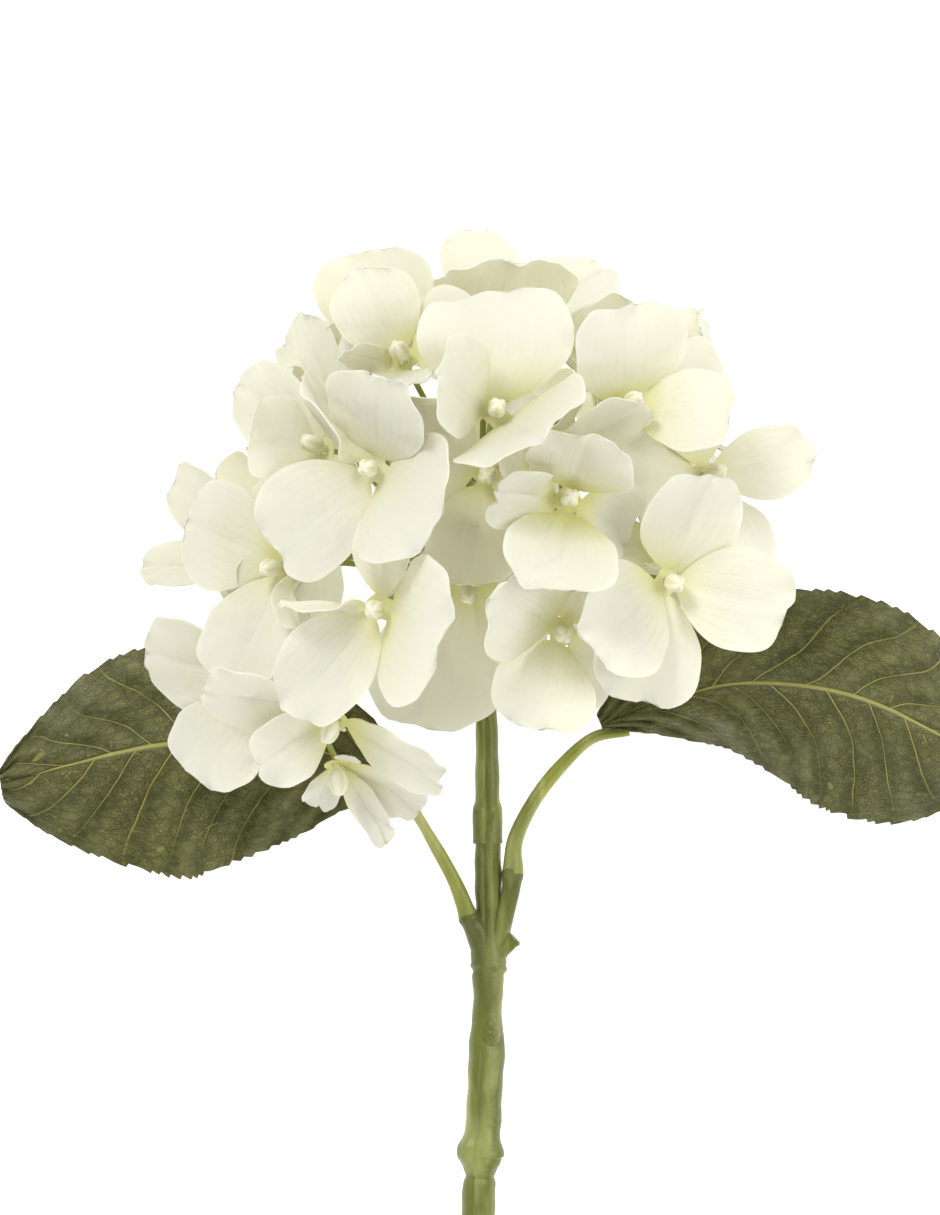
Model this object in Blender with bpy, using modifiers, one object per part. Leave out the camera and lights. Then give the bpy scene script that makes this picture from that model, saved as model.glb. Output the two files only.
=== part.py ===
"""A cut hydrangea: one leafy stem with a white mop head, lying on a flat surface.

The stem is drawn upright in its own growing frame, in millimetres: x to the right, y up the stem, z out of
the open face of the head, with the origin where the flower branches spread. The empty "lying" then lays it
down on its cut end and on the petals at the back of the head.
"""

import math

import bmesh
import bpy
import numpy as np
from mathutils import Euler, Matrix, Vector
from mathutils.bvhtree import BVHTree

MM = 0.001

# Rest: the head end is raised by TILT, the stem is rolled by ROLL, and SHIFT brings the box over the origin.
TILT = math.radians(9.256)
ROLL = math.radians(-2.043)
SHIFT = Vector((-3.02, 127.18, 59.64)) * MM
# The slope of the flat that the petals at the back of the head are pressed to, under the stem
PRESSED_SLOPE = math.radians(9.5)

# Stem, from the cut end up to the joint below the head
CUT_END_Y = -345.0
STEM_RADIUS = 4.1
STEM_ROUTE = (
    (-4, CUT_END_Y, 0), (-4, -265, 0), (-2.6, -200, 0), (-1.5, -160, 0), (0.6, -115, 0), (1.2, -92, 0),
    (0.9, -64, 0),
)
STEM_NODES_Y = (-300.0, -222.0, -145.0)
STALK_RADIUS = 3.3
STALK_ROUTE = ((0.9, -63.5, 0), (0.8, -48, 0), (0.6, -33, 0), (0.3, -18, 0), (0, 0, 0))
STALK_RADII = (3.3, 3.0, 2.5, 2.6, 3.4)
FORK_Y = -97.0
# Each swelling at an old scar, and over the fork
SWELLING = 1.0
SWELLING_LENGTH = 4.0

# What is moulded to the stem: a socket for the left leaf's stalk and a stub for the right one's
LEFT_SOCKET = ((1.0, -98, 0), (-1.6, -89.5, 1.2), (-3.6, -85.2, 1.6))
LEFT_SOCKET_RADII = (2.8, 2.8, 2.5)
RIGHT_STUB = ((1.4, -97, 0), (4.4, -88, 1.6), (6.4, -80, 2.0), (7.2, -72.5, 2.2))
RIGHT_STUB_RADII = (2.8, 2.5, 2.1, 2.3)

# Leaf stalks: route, first and last radius
PETIOLES = {
    "left_petiole": (
        ((-3.9, -84.4, 1.8), (-6.6, -78, 2.2), (-9.6, -72, 2.6), (-14.2, -64, 3.0), (-18.4, -57, 2.0)),
        2.1, 1.2),
    "right_petiole": (
        ((7.3, -71.8, 2.3), (7.8, -66, 2.6), (12.5, -56.2, 3.4), (19.2, -47.5, 4.2), (27, -40.6, 4.2),
         (36, -38.6, 4.0)),
        2.1, 1.3),
}

# Florets: four sepals in one sheet, held by a bead-ended peg
SEPAL_LENGTH = 27.0
SEPAL_WIDTH = 27.0
SHEET = 0.4
HUB_RADIUS = 3.0
HOLE_RADIUS = 1.15
WIDEST_RING_STEP = math.radians(50)
BASE_SHARE = 0.09
WIDEST_AT = 0.55
PEG_RADIUS = 0.75
BEAD_RADIUS = 2.1
BEAD_HALF_LENGTH = 2.9
BEAD_HEIGHT = 4.6
CLEARANCE = 0.15
SURFACE_GIVE = 0.3
SEPAL_ROWS = (0.0, 0.22, 0.5, 0.8, 0.97)
SEPAL_COLUMNS = (-1.0, 0.0, 1.0)

# Branches: a trunk leaves the top of the stalk in each of these directions and carries the nearest florets.
TRUNK_START = 5.2
TRUNK_END = 24.0
TRUNK_RADIUS = 1.3
KNUCKLE_RADIUS = 1.9
KNUCKLE_STRETCH = 1.2
PEG_FLARE = 1.3
PEG_MEETING = 0.4
LONGEST_NECK = 14.0
NECK_SHARE = 0.45
BRANCHES = {
    "branch_front_left": (-0.5, 0.05, 0.86),
    "branch_front_right": (0.5, 0.05, 0.86),
    "branch_front_top": (0.0, 0.65, 0.76),
    "branch_top": (0.0, 0.98, -0.1),
    "branch_left": (-0.95, 0.25, -0.1),
    "branch_right": (0.93, 0.35, 0.0),
    "branch_low_left": (-0.75, -0.6, 0.3),
    "branch_back_left": (-0.5, 0.2, -0.84),
    "branch_back_right": (0.5, 0.2, -0.84),
}


def floret(place, turn, rise, spin, cup=28, size=1.0, curl=-12, **sepals):
    """One floret: where its sheet is, the way it faces, and the sepals that differ from the rest.

    turn is how far it faces to the right and rise how far it faces up, in degrees. spin is the direction of
    sepal 0 round the bead, and cup how far the sepals stand up out of its plane. s0 to s3 change one sepal.
    """
    return {
        "place": np.array(place, float),
        "turn": turn,
        "rise": rise,
        "spin": spin,
        "cup": cup,
        "size": size,
        "curl": curl,
        "sepals": [sepals.get("s%d" % k, {}) for k in range(4)],
    }


FRONT_FLORETS = [
    floret((-25.8, 24.6, 52.6), -18, 0, 217, 24, s0=dict(cup=8, long=1.08), s1=dict(turn=18, cup=43, wide=1.32),
           s2=dict(turn=14, cup=42, wide=0.95, lift=0.7),
           s3=dict(turn=-2, cup=32, roll=84, long=0.9, wide=0.7)),
    floret((2.4, 37.3, 57.5), 5, 12, 90, 30, s0=dict(cup=38, curl=-62, wide=1.35, wave=1.6),
           s1=dict(turn=-20, cup=55, wide=0.9, long=0.9),
           s2=dict(turn=-84, cup=4, roll=-80, wide=0.7, long=1.05),
           s3=dict(turn=-53, cup=68, wide=1.35, long=0.95)),
    floret((42.9, -1.9, 48.7), 20, -5, 79, 22, s0=dict(cup=30, long=0.95, wide=0.95),
           s1=dict(turn=42, cup=30, lift=1.2, wide=1.08), s2=dict(turn=-5, cup=8, long=1.0),
           s3=dict(turn=-1, cup=28, long=1.0, wide=0.92)),
    floret((14.0, 26.0, 44.0), 10, 20, 65, 25, s0=dict(roll=80, wide=0.7, cup=40), s1=dict(cup=8, long=0.7),
           s2=dict(cup=0, long=0.8), s3=dict(turn=44, roll=70, wide=0.66, cup=40, long=1.0)),
    floret((-24.8, -7.8, 55.5), -12, -8, 84, 30, s0=dict(cup=8, wide=0.55, long=0.8),
           s1=dict(turn=2, cup=22, roll=-84, long=0.75, wide=0.3, lift=1.6),
           s2=dict(turn=-36, cup=8, wide=0.86, long=1.12, lift=0.0),
           s3=dict(turn=-12, cup=54, wide=1.35)),
    floret((18.2, -13.7, 47.5), 5, -8, 60, 24, s0=dict(turn=15, cup=22, long=0.62, wide=0.85),
           s1=dict(turn=-6, cup=54, wide=1.08),
           s2=dict(turn=10, cup=36, long=0.82, wide=0.92), s3=dict(cup=-18, long=0.8)),
    floret((19.4, 17.1, 55.4), 5, 5, 30, 30, s0=dict(turn=44, cup=62, wide=1.0, long=0.8, curl=-20),
           s1=dict(turn=60, cup=40, wide=0.62, long=0.72, roll=-45), s2=dict(turn=38, cup=8),
           s3=dict(turn=16, cup=18, long=0.8)),
    floret((0.5, 23.6, 45.4), 0, -5, 259, 24, s0=dict(wide=0.86, long=0.92), s1=dict(long=0.6),
           s2=dict(long=0.4),
           s3=dict(long=0.7)),
    floret((-48.3, 1.8, 34.2), -35, -5, 150, 25, s0=dict(long=0.9), s1=dict(turn=12, long=1.1, wide=0.92),
           s2=dict(turn=-35, cup=32, roll=80, long=0.75, wide=0.5), s3=dict(turn=-10, cup=0, long=0.7)),
    floret((-4.0, -2.1, 34.0), 0, -30, 250, 20, s0=dict(wide=1.3, long=1.3), s1=dict(long=0.8),
           s2=dict(long=0.6),
           s3=dict(long=0.7)),
    floret((-55.7, -27.2, 17.2), -50, -20, 145, 36, s1=dict(turn=-2, wide=1.22, long=0.92, cup=46),
           s2=dict(cup=15, long=0.35), s3=dict(cup=15, long=0.5)),
    floret((-19.0, 50.4, 44.0), -15, 25, 104, 34, s0=dict(long=0.8, wide=0.8),
           s1=dict(cup=48, roll=-76, long=0.5,
           wide=0.34), s2=dict(cup=46, wide=0.8, long=0.8, lift=0.7), s3=dict(cup=8, long=0.7)),
    floret((33.0, 38.3, 46.2), 25, 25, 100, 38, s0=dict(wide=1.15, long=0.92, curl=-45, wave=1.5),
           s1=dict(cup=50, long=0.4), s2=dict(turn=-15, cup=15, long=0.85),
           s3=dict(turn=-35, cup=52, wide=0.85, long=0.85)),
    floret((-35.5, -34.6, 34.8), -25, -40, 130, 20, s0=dict(cup=36, wide=0.8, long=1.15),
           s1=dict(turn=-32, cup=52, long=0.75, wide=0.72),
           s2=dict(turn=-40, long=0.6), s3=dict(turn=-60, wide=0.6, long=1.1)),
    floret((-38.0, 29.7, 36.8), -40, 15, 146, 32, s0=dict(wide=0.72, long=0.95),
           s1=dict(turn=-36, cup=60, long=0.72),
           s2=dict(turn=-30, cup=10, long=0.7), s3=dict(turn=10, cup=10, long=0.5)),
    floret((53.0, 24.0, 31.0), 30, 5, 10, 25, s0=dict(long=0.93, wide=0.68),
           s1=dict(long=1.1, wide=0.9, turn=6, cup=34),
           s2=dict(long=0.7), s3=dict(long=0.9, turn=-10)),
    floret((6.3, 59.0, 20.0), 0, 62, 122, 50, s0=dict(wide=0.8), s1=dict(long=0.8, cup=36),
           s2=dict(turn=-30, cup=66, wide=1.2, lift=1.6), s3=dict(wide=1.0)),
    floret((44.8, 5.2, 37.0), 15, 5, 171, 20, s0=dict(roll=30, cup=32, wide=0.6, long=0.95), s1=dict(long=0.4),
           s2=dict(long=0.5), s3=dict(long=0.4)),
    floret((-34.0, 37.0, 34.0), -25, 30, 116, 36, s0=dict(wide=0.38, long=0.95), s1=dict(long=0.2),
           s2=dict(long=0.2), s3=dict(turn=45, wide=0.4, long=0.85)),
    floret((-25.5, 53.5, 17.0), -20, 50, 98, 42, s0=dict(wide=1.1, long=0.92),
           s1=dict(turn=-6, long=0.8, wide=0.8),
           s2=dict(long=0.7), s3=dict(long=0.7)),
    floret((-36.0, -46.0, 26.0), 15, -60, -15, 34, 0.8, s0=dict(wide=0.75), s1=dict(long=0.3),
           s2=dict(turn=115, wide=0.45, long=0.65), s3=dict(turn=62, wide=0.42)),
    floret((-57.5, 4.5, 12.0), -65, 5, 130, 40, s0=dict(wide=0.85), s1=dict(turn=-27, cup=52, wide=0.45),
           s2=dict(long=0.7), s3=dict(turn=20, cup=24, long=0.6)),
    floret((24.0, 50.0, 17.0), 30, 50, 110, 38, s0=dict(long=0.9), s3=dict(turn=10, long=0.75)),
    floret((46.0, 41.0, 6.0), 60, 30, 54, 35, s0=dict(wide=0.6, long=0.95), s3=dict(long=0.45)),
]

# The back of the head: rings of florets round its z axis, each with its tilt away from the open face, its
# share of the radii, the direction of its first floret, the step to the next and their number.
BACK_CENTRE = np.array((-3.0, 16.0, 2.0))
BACK_RADII = np.array((52.0, 48.0, 45.0))
BACK_RINGS = ((-14.0, 0.78, -20.0, 52.0, 5), (-44.0, 1.14, -30.0, 55.0, 5), (-76.0, 0.72, 95.0, 170.0, 2))

# Other ways for a sepal to lie when its own is taken: shorter only when no turn or lift is free
CUP_STEPS = (0, 8, -8, 16, -16, 26, 36, -26, 48, -40)
TURN_STEPS = (0, 10, -10, 18, -18)
LENGTH_STEPS = (1.0, 0.88, 0.76, 0.64, 0.5, 0.36, 0.24)
# Weights of a shorter and of a turned sepal against a lifted one, and how far away another can still touch it
SHORTER_COST = 120.0
TURNED_COST = 1.2
NEAR_REACH = 2.1
# Where a sepal has no room at all
STUB_LENGTH = 1.0
STUB_WIDTH = 3.0
STUB_CUP = 10.0


def clear_scene():
    """Remove whatever the scene held."""
    for thing in list(bpy.data.objects):
        bpy.data.objects.remove(thing, do_unlink=True)


def material(name, colour, roughness):
    """A plain Principled finish."""
    made = bpy.data.materials.new(name)
    made.use_nodes = True
    shader = made.node_tree.nodes["Principled BSDF"]
    shader.inputs["Base Color"].default_value = (*colour, 1.0)
    shader.inputs["Roughness"].default_value = roughness
    return made


def collection(name):
    """A collection of the scene, for the parts or for the pieces that are joined to them."""
    made = bpy.data.collections.new(name)
    bpy.context.scene.collection.children.link(made)
    return made


def back_florets():
    """Florets in rings round the hidden side of the head, clear of the stalk and the leaves."""
    found = []
    for rise, size, first, step, count in BACK_RINGS:
        for k in range(count):
            around = first + step * k
            flat = math.cos(math.radians(rise))
            way = np.array((
                flat * math.cos(math.radians(around)),
                flat * math.sin(math.radians(around)),
                math.sin(math.radians(rise)),
            ))
            turn = math.degrees(math.atan2(way[0], way[2]))
            lift = math.degrees(math.asin(way[1]))
            place = BACK_CENTRE + way * BACK_RADII * size
            found.append(floret(place, turn, lift, 17 + 31 * k, 30 + 4 * (k % 3)))
    return found


def axes_of(one):
    """The floret's right, up and facing directions."""
    turn, rise = math.radians(one["turn"]), math.radians(one["rise"])
    right = np.array((math.cos(turn), 0.0, -math.sin(turn)))
    up = np.array((-math.sin(turn) * math.sin(rise), math.cos(rise), -math.cos(turn) * math.sin(rise)))
    facing = np.array((math.sin(turn) * math.cos(rise), math.sin(rise), math.cos(turn) * math.cos(rise)))
    return right, up, facing


def half_width(share):
    """Half the sepal's width at this share of its length: a wedge that opens, then a round end."""
    share = np.clip(share, 0.0, 1.0)
    opening = BASE_SHARE + (1 - BASE_SHARE) * np.sin(0.5 * math.pi * np.clip(share / WIDEST_AT, 0, 1)) ** 0.9
    closing = np.sqrt(np.clip(1 - ((share - WIDEST_AT) / (1 - WIDEST_AT)) ** 2, 0, 1))
    return np.where(share < WIDEST_AT, opening, closing)


def sepal_of(one, k):
    """The sizes and bends of sepal k of a floret."""
    change = one["sepals"][k]
    return {
        "length": SEPAL_LENGTH * one["size"] * change.get("long", 1.0),
        "width": SEPAL_WIDTH * one["size"] * change.get("wide", 1.0),
        "around": one["spin"] + 90.0 * k + change.get("turn", 0.0),
        "cup": change.get("cup", one["cup"] + 4 * (k % 2)),
        "curl": change.get("curl", one["curl"]),
        "roll": change.get("roll", 0.0),
        "trough": change.get("trough", 14.0),
        "wave": change.get("wave", 0.8),
        "phase": 1.7 * k,
        "lift": change.get("lift", 0.7 * (k % 2)),
    }


def bent(sepal, share, side):
    """Points of the bent sheet, out from the hub, sideways and towards the bead.

    share runs from 0 at the hub to 1 at the tip, and side from -1 to 1 across the sheet.
    """
    steps = np.linspace(0.0, 1.0, 25)
    start, curl = math.radians(sepal["cup"]), math.radians(sepal["curl"])
    slope = start + curl * steps ** 1.5
    middle = 0.5 * (slope[1:] + slope[:-1])
    out = np.concatenate([[0.0], np.cumsum(np.cos(middle))]) * sepal["length"] / 24
    lift = np.concatenate([[0.0], np.cumsum(np.sin(middle))]) * sepal["length"] / 24
    here_out, here_lift = np.interp(share, steps, out), np.interp(share, steps, lift)
    here = start + curl * np.clip(share, 0, 1) ** 1.5
    rolled = np.radians(sepal["roll"] * np.minimum(1.0, share * 3))
    across = side * half_width(share) * sepal["width"] / 2
    bend = math.radians(sepal["trough"]) / (sepal["width"] / 2)
    sideways = np.sin(bend * across) / bend
    height = (1 - np.cos(bend * across)) / bend
    swing = 4.4 * math.pi * across / (2 * sepal["width"]) + sepal["phase"] + 3 * share
    height = height + sepal["wave"] * share ** 2 * np.abs(2 * across / sepal["width"]) ** 1.5 * np.sin(swing)
    tipped = sideways * np.sin(rolled) + height * np.cos(rolled)
    flat = sideways * np.cos(rolled) - height * np.sin(rolled)
    return here_out - tipped * np.sin(here), flat, here_lift + tipped * np.cos(here)


def sepal_grid(one, sepal, shares, sides):
    """The sheet's points in the growing frame, one row for each share."""
    share, side = np.meshgrid(shares, sides, indexing="ij")
    out, flat, lift = bent(sepal, share, side)
    right, up, facing = axes_of(one)
    around = math.radians(sepal["around"])
    ahead = right * math.cos(around) + up * math.sin(around)
    beside = up * math.cos(around) - right * math.sin(around)
    base = one["place"] + facing * sepal["lift"]
    return base + (out + HUB_RADIUS)[..., None] * ahead + flat[..., None] * beside + lift[..., None] * facing


def thick_tree(grid, half):
    """A search tree of a sheet thickened by half on both sides."""
    along = np.gradient(grid, axis=0)
    beside = np.gradient(grid, axis=1)
    normal = np.cross(along, beside)
    normal /= np.maximum(np.linalg.norm(normal, axis=-1, keepdims=True), 1e-9)
    rows, columns = grid.shape[:2]
    points = np.concatenate([(grid + normal * half).reshape(-1, 3), (grid - normal * half).reshape(-1, 3)])
    index = np.arange(rows * columns).reshape(rows, columns)
    faces = []
    for layer in (0, rows * columns):
        for r in range(rows - 1):
            for c in range(columns - 1):
                a, b, d, e = (index[r, c] + layer, index[r, c + 1] + layer,
                              index[r + 1, c + 1] + layer, index[r + 1, c] + layer)
                faces += [(a, b, d), (a, d, e)]
    rim = list(index[0]) + list(index[1:, -1]) + list(index[-1, ::-1][1:]) + list(index[::-1, 0][1:])
    for a, b in zip(rim[:-1], rim[1:]):
        faces += [(a, b, b + rows * columns), (a, b + rows * columns, a + rows * columns)]
    return BVHTree.FromPolygons([Vector(p) for p in points], [tuple(int(v) for v in f) for f in faces])


def surface_tree():
    """A search tree of the flat that presses the back of the head, through the lowest point of the cut end."""
    level = Matrix.Rotation(-PRESSED_SLOPE, 3, "X")
    touch = Vector((STEM_ROUTE[0][0], CUT_END_Y, 0)) - level @ Vector((0, 0, 1)) * (STEM_RADIUS - SURFACE_GIVE)
    reach = 300.0
    corners = ((-1, -1), (1, -1), (1, 1), (-1, 1))
    points = [touch + level @ Vector((x * reach, y * 2 * reach, 0)) for x, y in corners]
    return BVHTree.FromPolygons(points, [(0, 1, 2), (0, 2, 3)])


def rod_tree(route, radii):
    """A search tree of a square rod along a route."""
    points, faces = [], []
    for k, (a, b) in enumerate(zip(route[:-1], route[1:])):
        a, b = Vector(a), Vector(b)
        way = (b - a).normalized()
        side = way.orthogonal().normalized()
        other = way.cross(side)
        first = len(points)
        for end, radius in ((a, radii[k]), (b, radii[k + 1])):
            for x, y in ((1, 1), (-1, 1), (-1, -1), (1, -1)):
                points.append(end + (side * x + other * y) * radius)
        for m in range(4):
            n = (m + 1) % 4
            faces += [(first + m, first + n, first + 4 + n), (first + m, first + 4 + n, first + 4 + m)]
    return BVHTree.FromPolygons(points, faces)


def settle(florets, obstacles):
    """Give each sepal the first way to lie in which it touches nothing that is already placed.

    Florets come in order of importance, so the ones in view keep the way they were drawn. A sepal that has no
    room at all, deep between others, is a stub on the ring.
    """
    placed = [(Vector((0, 0, 0)), 1e6, tree) for tree in obstacles]
    options = [(length, cup, turn) for length in LENGTH_STEPS for cup in CUP_STEPS for turn in TURN_STEPS]
    options.sort(key=lambda o: (1 - o[0]) * SHORTER_COST + abs(o[1]) + abs(o[2]) * TURNED_COST)
    half = SHEET / 2 + CLEARANCE
    shares, sides = (0.06, *SEPAL_ROWS[1:]), SEPAL_COLUMNS
    for one in florets:
        one["laid"] = []
        for k in range(4):
            best = None
            for length, cup, turn in options:
                sepal = sepal_of(one, k)
                sepal["length"] *= length
                sepal["width"] *= length
                sepal["cup"] += cup
                sepal["around"] += turn
                grid = sepal_grid(one, sepal, shares, sides)
                tree = thick_tree(grid, half)
                middle = Vector(grid[2, 1])
                near = [t for centre, reach, t in placed if (centre - middle).length < reach]
                if not any(tree.overlap(other) for other in near):
                    best = (sepal, middle, tree)
                    break
            if best is None:
                sepal = sepal_of(one, k)
                sepal.update(length=STUB_LENGTH, width=STUB_WIDTH, cup=STUB_CUP)
                one["laid"].append(sepal)
                continue
            one["laid"].append(best[0])
            placed.append((best[1], NEAR_REACH * SEPAL_LENGTH, best[2]))


def smooth_route(points, steps):
    """More points on a smooth curve through these."""
    points = [Vector(p) for p in points]
    ends = [2 * points[0] - points[1], *points, 2 * points[-1] - points[-2]]
    found = []
    for k in range(1, len(ends) - 2):
        a, b, c, d = ends[k - 1:k + 3]
        for step in range(steps):
            t = step / steps
            found.append(0.5 * ((2 * b) + (c - a) * t + (2 * a - 5 * b + 4 * c - d) * t ** 2
                                + (3 * b - a - 3 * c + d) * t ** 3))
    found.append(points[-1])
    return found


def tube(name, route, radii, finish, home, parent, sides=8):
    """A closed tube along a route, as a mesh, with its radius given at each point."""
    data = bpy.data.curves.new(name, "CURVE")
    data.dimensions = "3D"
    data.bevel_depth = MM
    data.bevel_resolution = (sides - 4) // 2
    data.use_fill_caps = True
    spline = data.splines.new("POLY")
    spline.points.add(len(route) - 1)
    for point, place, radius in zip(spline.points, route, radii):
        point.co = (*(Vector(place) * MM), 1.0)
        point.radius = radius
    guide = bpy.data.objects.new(name + "_guide", data)
    bpy.context.scene.collection.objects.link(guide)
    graph = bpy.context.evaluated_depsgraph_get()
    mesh = bpy.data.meshes.new_from_object(guide.evaluated_get(graph))
    bpy.data.objects.remove(guide, do_unlink=True)
    work = bmesh.new()
    work.from_mesh(mesh)
    bmesh.ops.remove_doubles(work, verts=work.verts, dist=0.02 * MM)
    bmesh.ops.recalc_face_normals(work, faces=work.faces)
    work.to_mesh(mesh)
    work.free()
    return place_object(name, mesh, finish, home, parent)


def place_object(name, mesh, finish, home, parent):
    """An object of this mesh, in its collection, dressed and parented."""
    mesh.materials.clear()
    mesh.materials.append(finish)
    made = bpy.data.objects.new(name, mesh)
    home.objects.link(made)
    made.parent = parent
    return made


def bead(name, centre, facing, sizes, finish, home, parent):
    """A long ball of a radius and a half length: a peg's round end, or the knuckle at the end of a trunk."""
    radius, half_length = sizes
    mesh = bpy.data.meshes.new(name)
    work = bmesh.new()
    bmesh.ops.create_uvsphere(work, u_segments=7, v_segments=4, radius=1.0)
    turn = Vector((0, 0, 1)).rotation_difference(Vector(facing)).to_matrix().to_4x4()
    size = Matrix.Diagonal((radius * MM, radius * MM, half_length * MM, 1.0))
    bmesh.ops.transform(work, matrix=Matrix.Translation(Vector(centre) * MM) @ turn @ size, verts=work.verts)
    work.to_mesh(mesh)
    work.free()
    return place_object(name, mesh, finish, home, parent)


def join_all(base, others):
    """Unite pieces with the base, and keep them as guides."""
    for other in others:
        other.hide_render = True
        other.display_type = "WIRE"
        join = base.modifiers.new("join_" + other.name[-24:], "BOOLEAN")
        join.operation = "UNION"
        join.solver = "EXACT"
        join.object = other


def peg_route(trunk, one):
    """From the end of the trunk to the floret, arriving square to its sheet."""
    facing = Vector(axes_of(one)[2])
    place = Vector(one["place"])
    start = Vector(trunk).normalized() * (TRUNK_END - PEG_MEETING)
    reach = min(LONGEST_NECK, NECK_SHARE * (place - start).length)
    return [start, place - facing * reach, place + facing * (BEAD_HEIGHT - 1.0)]


def nearest_branch(one):
    """The trunk whose direction is closest to the floret's."""
    way = Vector(one["place"]).normalized()
    return max(BRANCHES, key=lambda name: way.dot(Vector(BRANCHES[name]).normalized()))


def branch(name, florets, finish, home, guides, parent):
    """One moulded branch: a trunk, a knuckle, and a bead-ended peg for each of its florets."""
    way = Vector(BRANCHES[name]).normalized()
    trunk = tube(name, [way * TRUNK_START, way * TRUNK_END], [TRUNK_RADIUS, TRUNK_RADIUS], finish, home, parent)
    knuckle = (KNUCKLE_RADIUS, KNUCKLE_RADIUS * KNUCKLE_STRETCH)
    pieces = [bead(name + "_knuckle", way * TRUNK_END, way, knuckle, finish, guides, parent)]
    for k, one in enumerate(florets):
        route = peg_route(way, one)
        radii = [PEG_RADIUS * PEG_FLARE, PEG_RADIUS, PEG_RADIUS]
        pieces.append(tube("%s_peg_%d" % (name, k), route, radii, finish, guides, parent, sides=6))
        facing = axes_of(one)[2]
        centre = one["place"] + facing * BEAD_HEIGHT
        sizes = (BEAD_RADIUS, BEAD_HALF_LENGTH)
        pieces.append(bead("%s_bead_%d" % (name, k), centre, facing, sizes, finish, guides, parent))
    join_all(trunk, pieces)
    return trunk


def floret_object(name, one, finish, home, parent):
    """The floret's sheet: a ring round the peg and its four sepals, given a thickness."""
    work = bmesh.new()
    right, up, facing = axes_of(one)
    spokes, inner, base = [], [], []
    for sepal in one["laid"]:
        grid = sepal_grid(one, sepal, SEPAL_ROWS, SEPAL_COLUMNS)
        rows = [[work.verts.new(Vector(p) * MM) for p in row] for row in grid]
        for low, high in zip(rows[:-1], rows[1:]):
            for c in range(len(low) - 1):
                work.faces.new((low[c], high[c], high[c + 1], low[c + 1]))
        for c, vert in enumerate(rows[0]):
            spoke = np.array(grid[0, c]) - one["place"]
            level = spoke @ facing
            spoke = spoke - facing * level
            spoke = spoke / np.linalg.norm(spoke)
            spokes.append(math.atan2(spoke @ up, spoke @ right))
            inner.append(work.verts.new(Vector(one["place"] + spoke * HOLE_RADIUS + facing * level * 0.5) * MM))
            base.append(vert)
    count = len(inner)
    for c in range(count):
        n = (c + 1) % count
        gap = (spokes[n] - spokes[c]) % (2 * math.pi)
        steps = max(1, math.ceil(gap / WIDEST_RING_STEP))
        near, far = [inner[c]], [base[c]]
        for step in range(1, steps):
            angle = spokes[c] + gap * step / steps
            spoke = right * math.cos(angle) + up * math.sin(angle)
            near.append(work.verts.new(Vector(one["place"] + spoke * HOLE_RADIUS) * MM))
            far.append(work.verts.new(Vector(one["place"] + spoke * HUB_RADIUS) * MM))
        near.append(inner[n])
        far.append(base[n])
        for k in range(steps):
            work.faces.new((near[k], far[k], far[k + 1], near[k + 1]))
    bmesh.ops.recalc_face_normals(work, faces=work.faces)
    mesh = bpy.data.meshes.new(name)
    work.to_mesh(mesh)
    work.free()
    made = place_object(name, mesh, finish, home, parent)
    wall = made.modifiers.new("sheet", "SOLIDIFY")
    wall.thickness = SHEET * MM
    wall.offset = 0.0
    return made


# Leaves: a midrib route, the half width on each side, how each half falls away from the midrib, and for each
# half where it is broadest (above 0.7 beyond the middle) and how blunt its ends are (smaller is blunter)
LEAF_SHEET = 0.6
LEAF_ROWS = 9
LEAVES = {
    "left_leaf": {
        "midrib": ((-18, -55, 4), (-34, -46, 3), (-58, -42, 1), (-84, -43, -2), (-124, -53, -8)),
        "upper": 33.0,
        "lower": 34.0,
        "upper_fall": 38.0,
        "lower_fall": 4.0,
        "upper_outline": (1.1, 0.8),
        "lower_outline": (1.2, 0.75),
    },
    "right_leaf": {
        "midrib": ((27, -38, 8), (46, -31, 11), (66, -27, 12), (94, -31, 10), (127, -47, 1)),
        "upper": 31.0,
        "lower": 32.0,
        "upper_fall": 34.0,
        "lower_fall": 22.0,
        "upper_outline": (1.25, 0.6),
        "lower_outline": (2.0, 0.5),
    },
}


def leaf_half(share, outline):
    """Half width of a leaf's half at this share of its length: round base, broad middle, drawn-out tip."""
    broad, blunt = outline
    return float(np.sin(math.pi * np.clip(share, 0, 1) ** broad) ** blunt)


def leaf_grid(leaf, shares, sides):
    """The blade's points: rows along the midrib and columns from the lower edge to the upper."""
    route = [np.array(p) for p in smooth_route(leaf["midrib"], 8)]
    lengths = np.concatenate([[0], np.cumsum([np.linalg.norm(b - a) for a, b in zip(route[:-1], route[1:])])])
    rib = np.stack([np.interp(shares, lengths / lengths[-1], [p[k] for p in route]) for k in range(3)], axis=1)
    along = np.gradient(rib, axis=0)
    along /= np.linalg.norm(along, axis=1, keepdims=True)
    rows = []
    for k, share in enumerate(shares):
        beside = np.cross((0.0, 0.0, 1.0), along[k])
        beside /= np.linalg.norm(beside)
        beside *= math.copysign(1.0, beside[1])
        row = []
        for side in sides:
            half = leaf["upper"] if side > 0 else leaf["lower"]
            fall = math.radians(leaf["upper_fall"] if side > 0 else leaf["lower_fall"])
            width = side * half * leaf_half(share, leaf["upper_outline"] if side > 0 else leaf["lower_outline"])
            drop = np.array((0, 0, 1.0)) * abs(width) * math.sin(fall)
            row.append(rib[k] + beside * width * math.cos(fall) - drop)
        rows.append(row)
    return np.array(rows)


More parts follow.
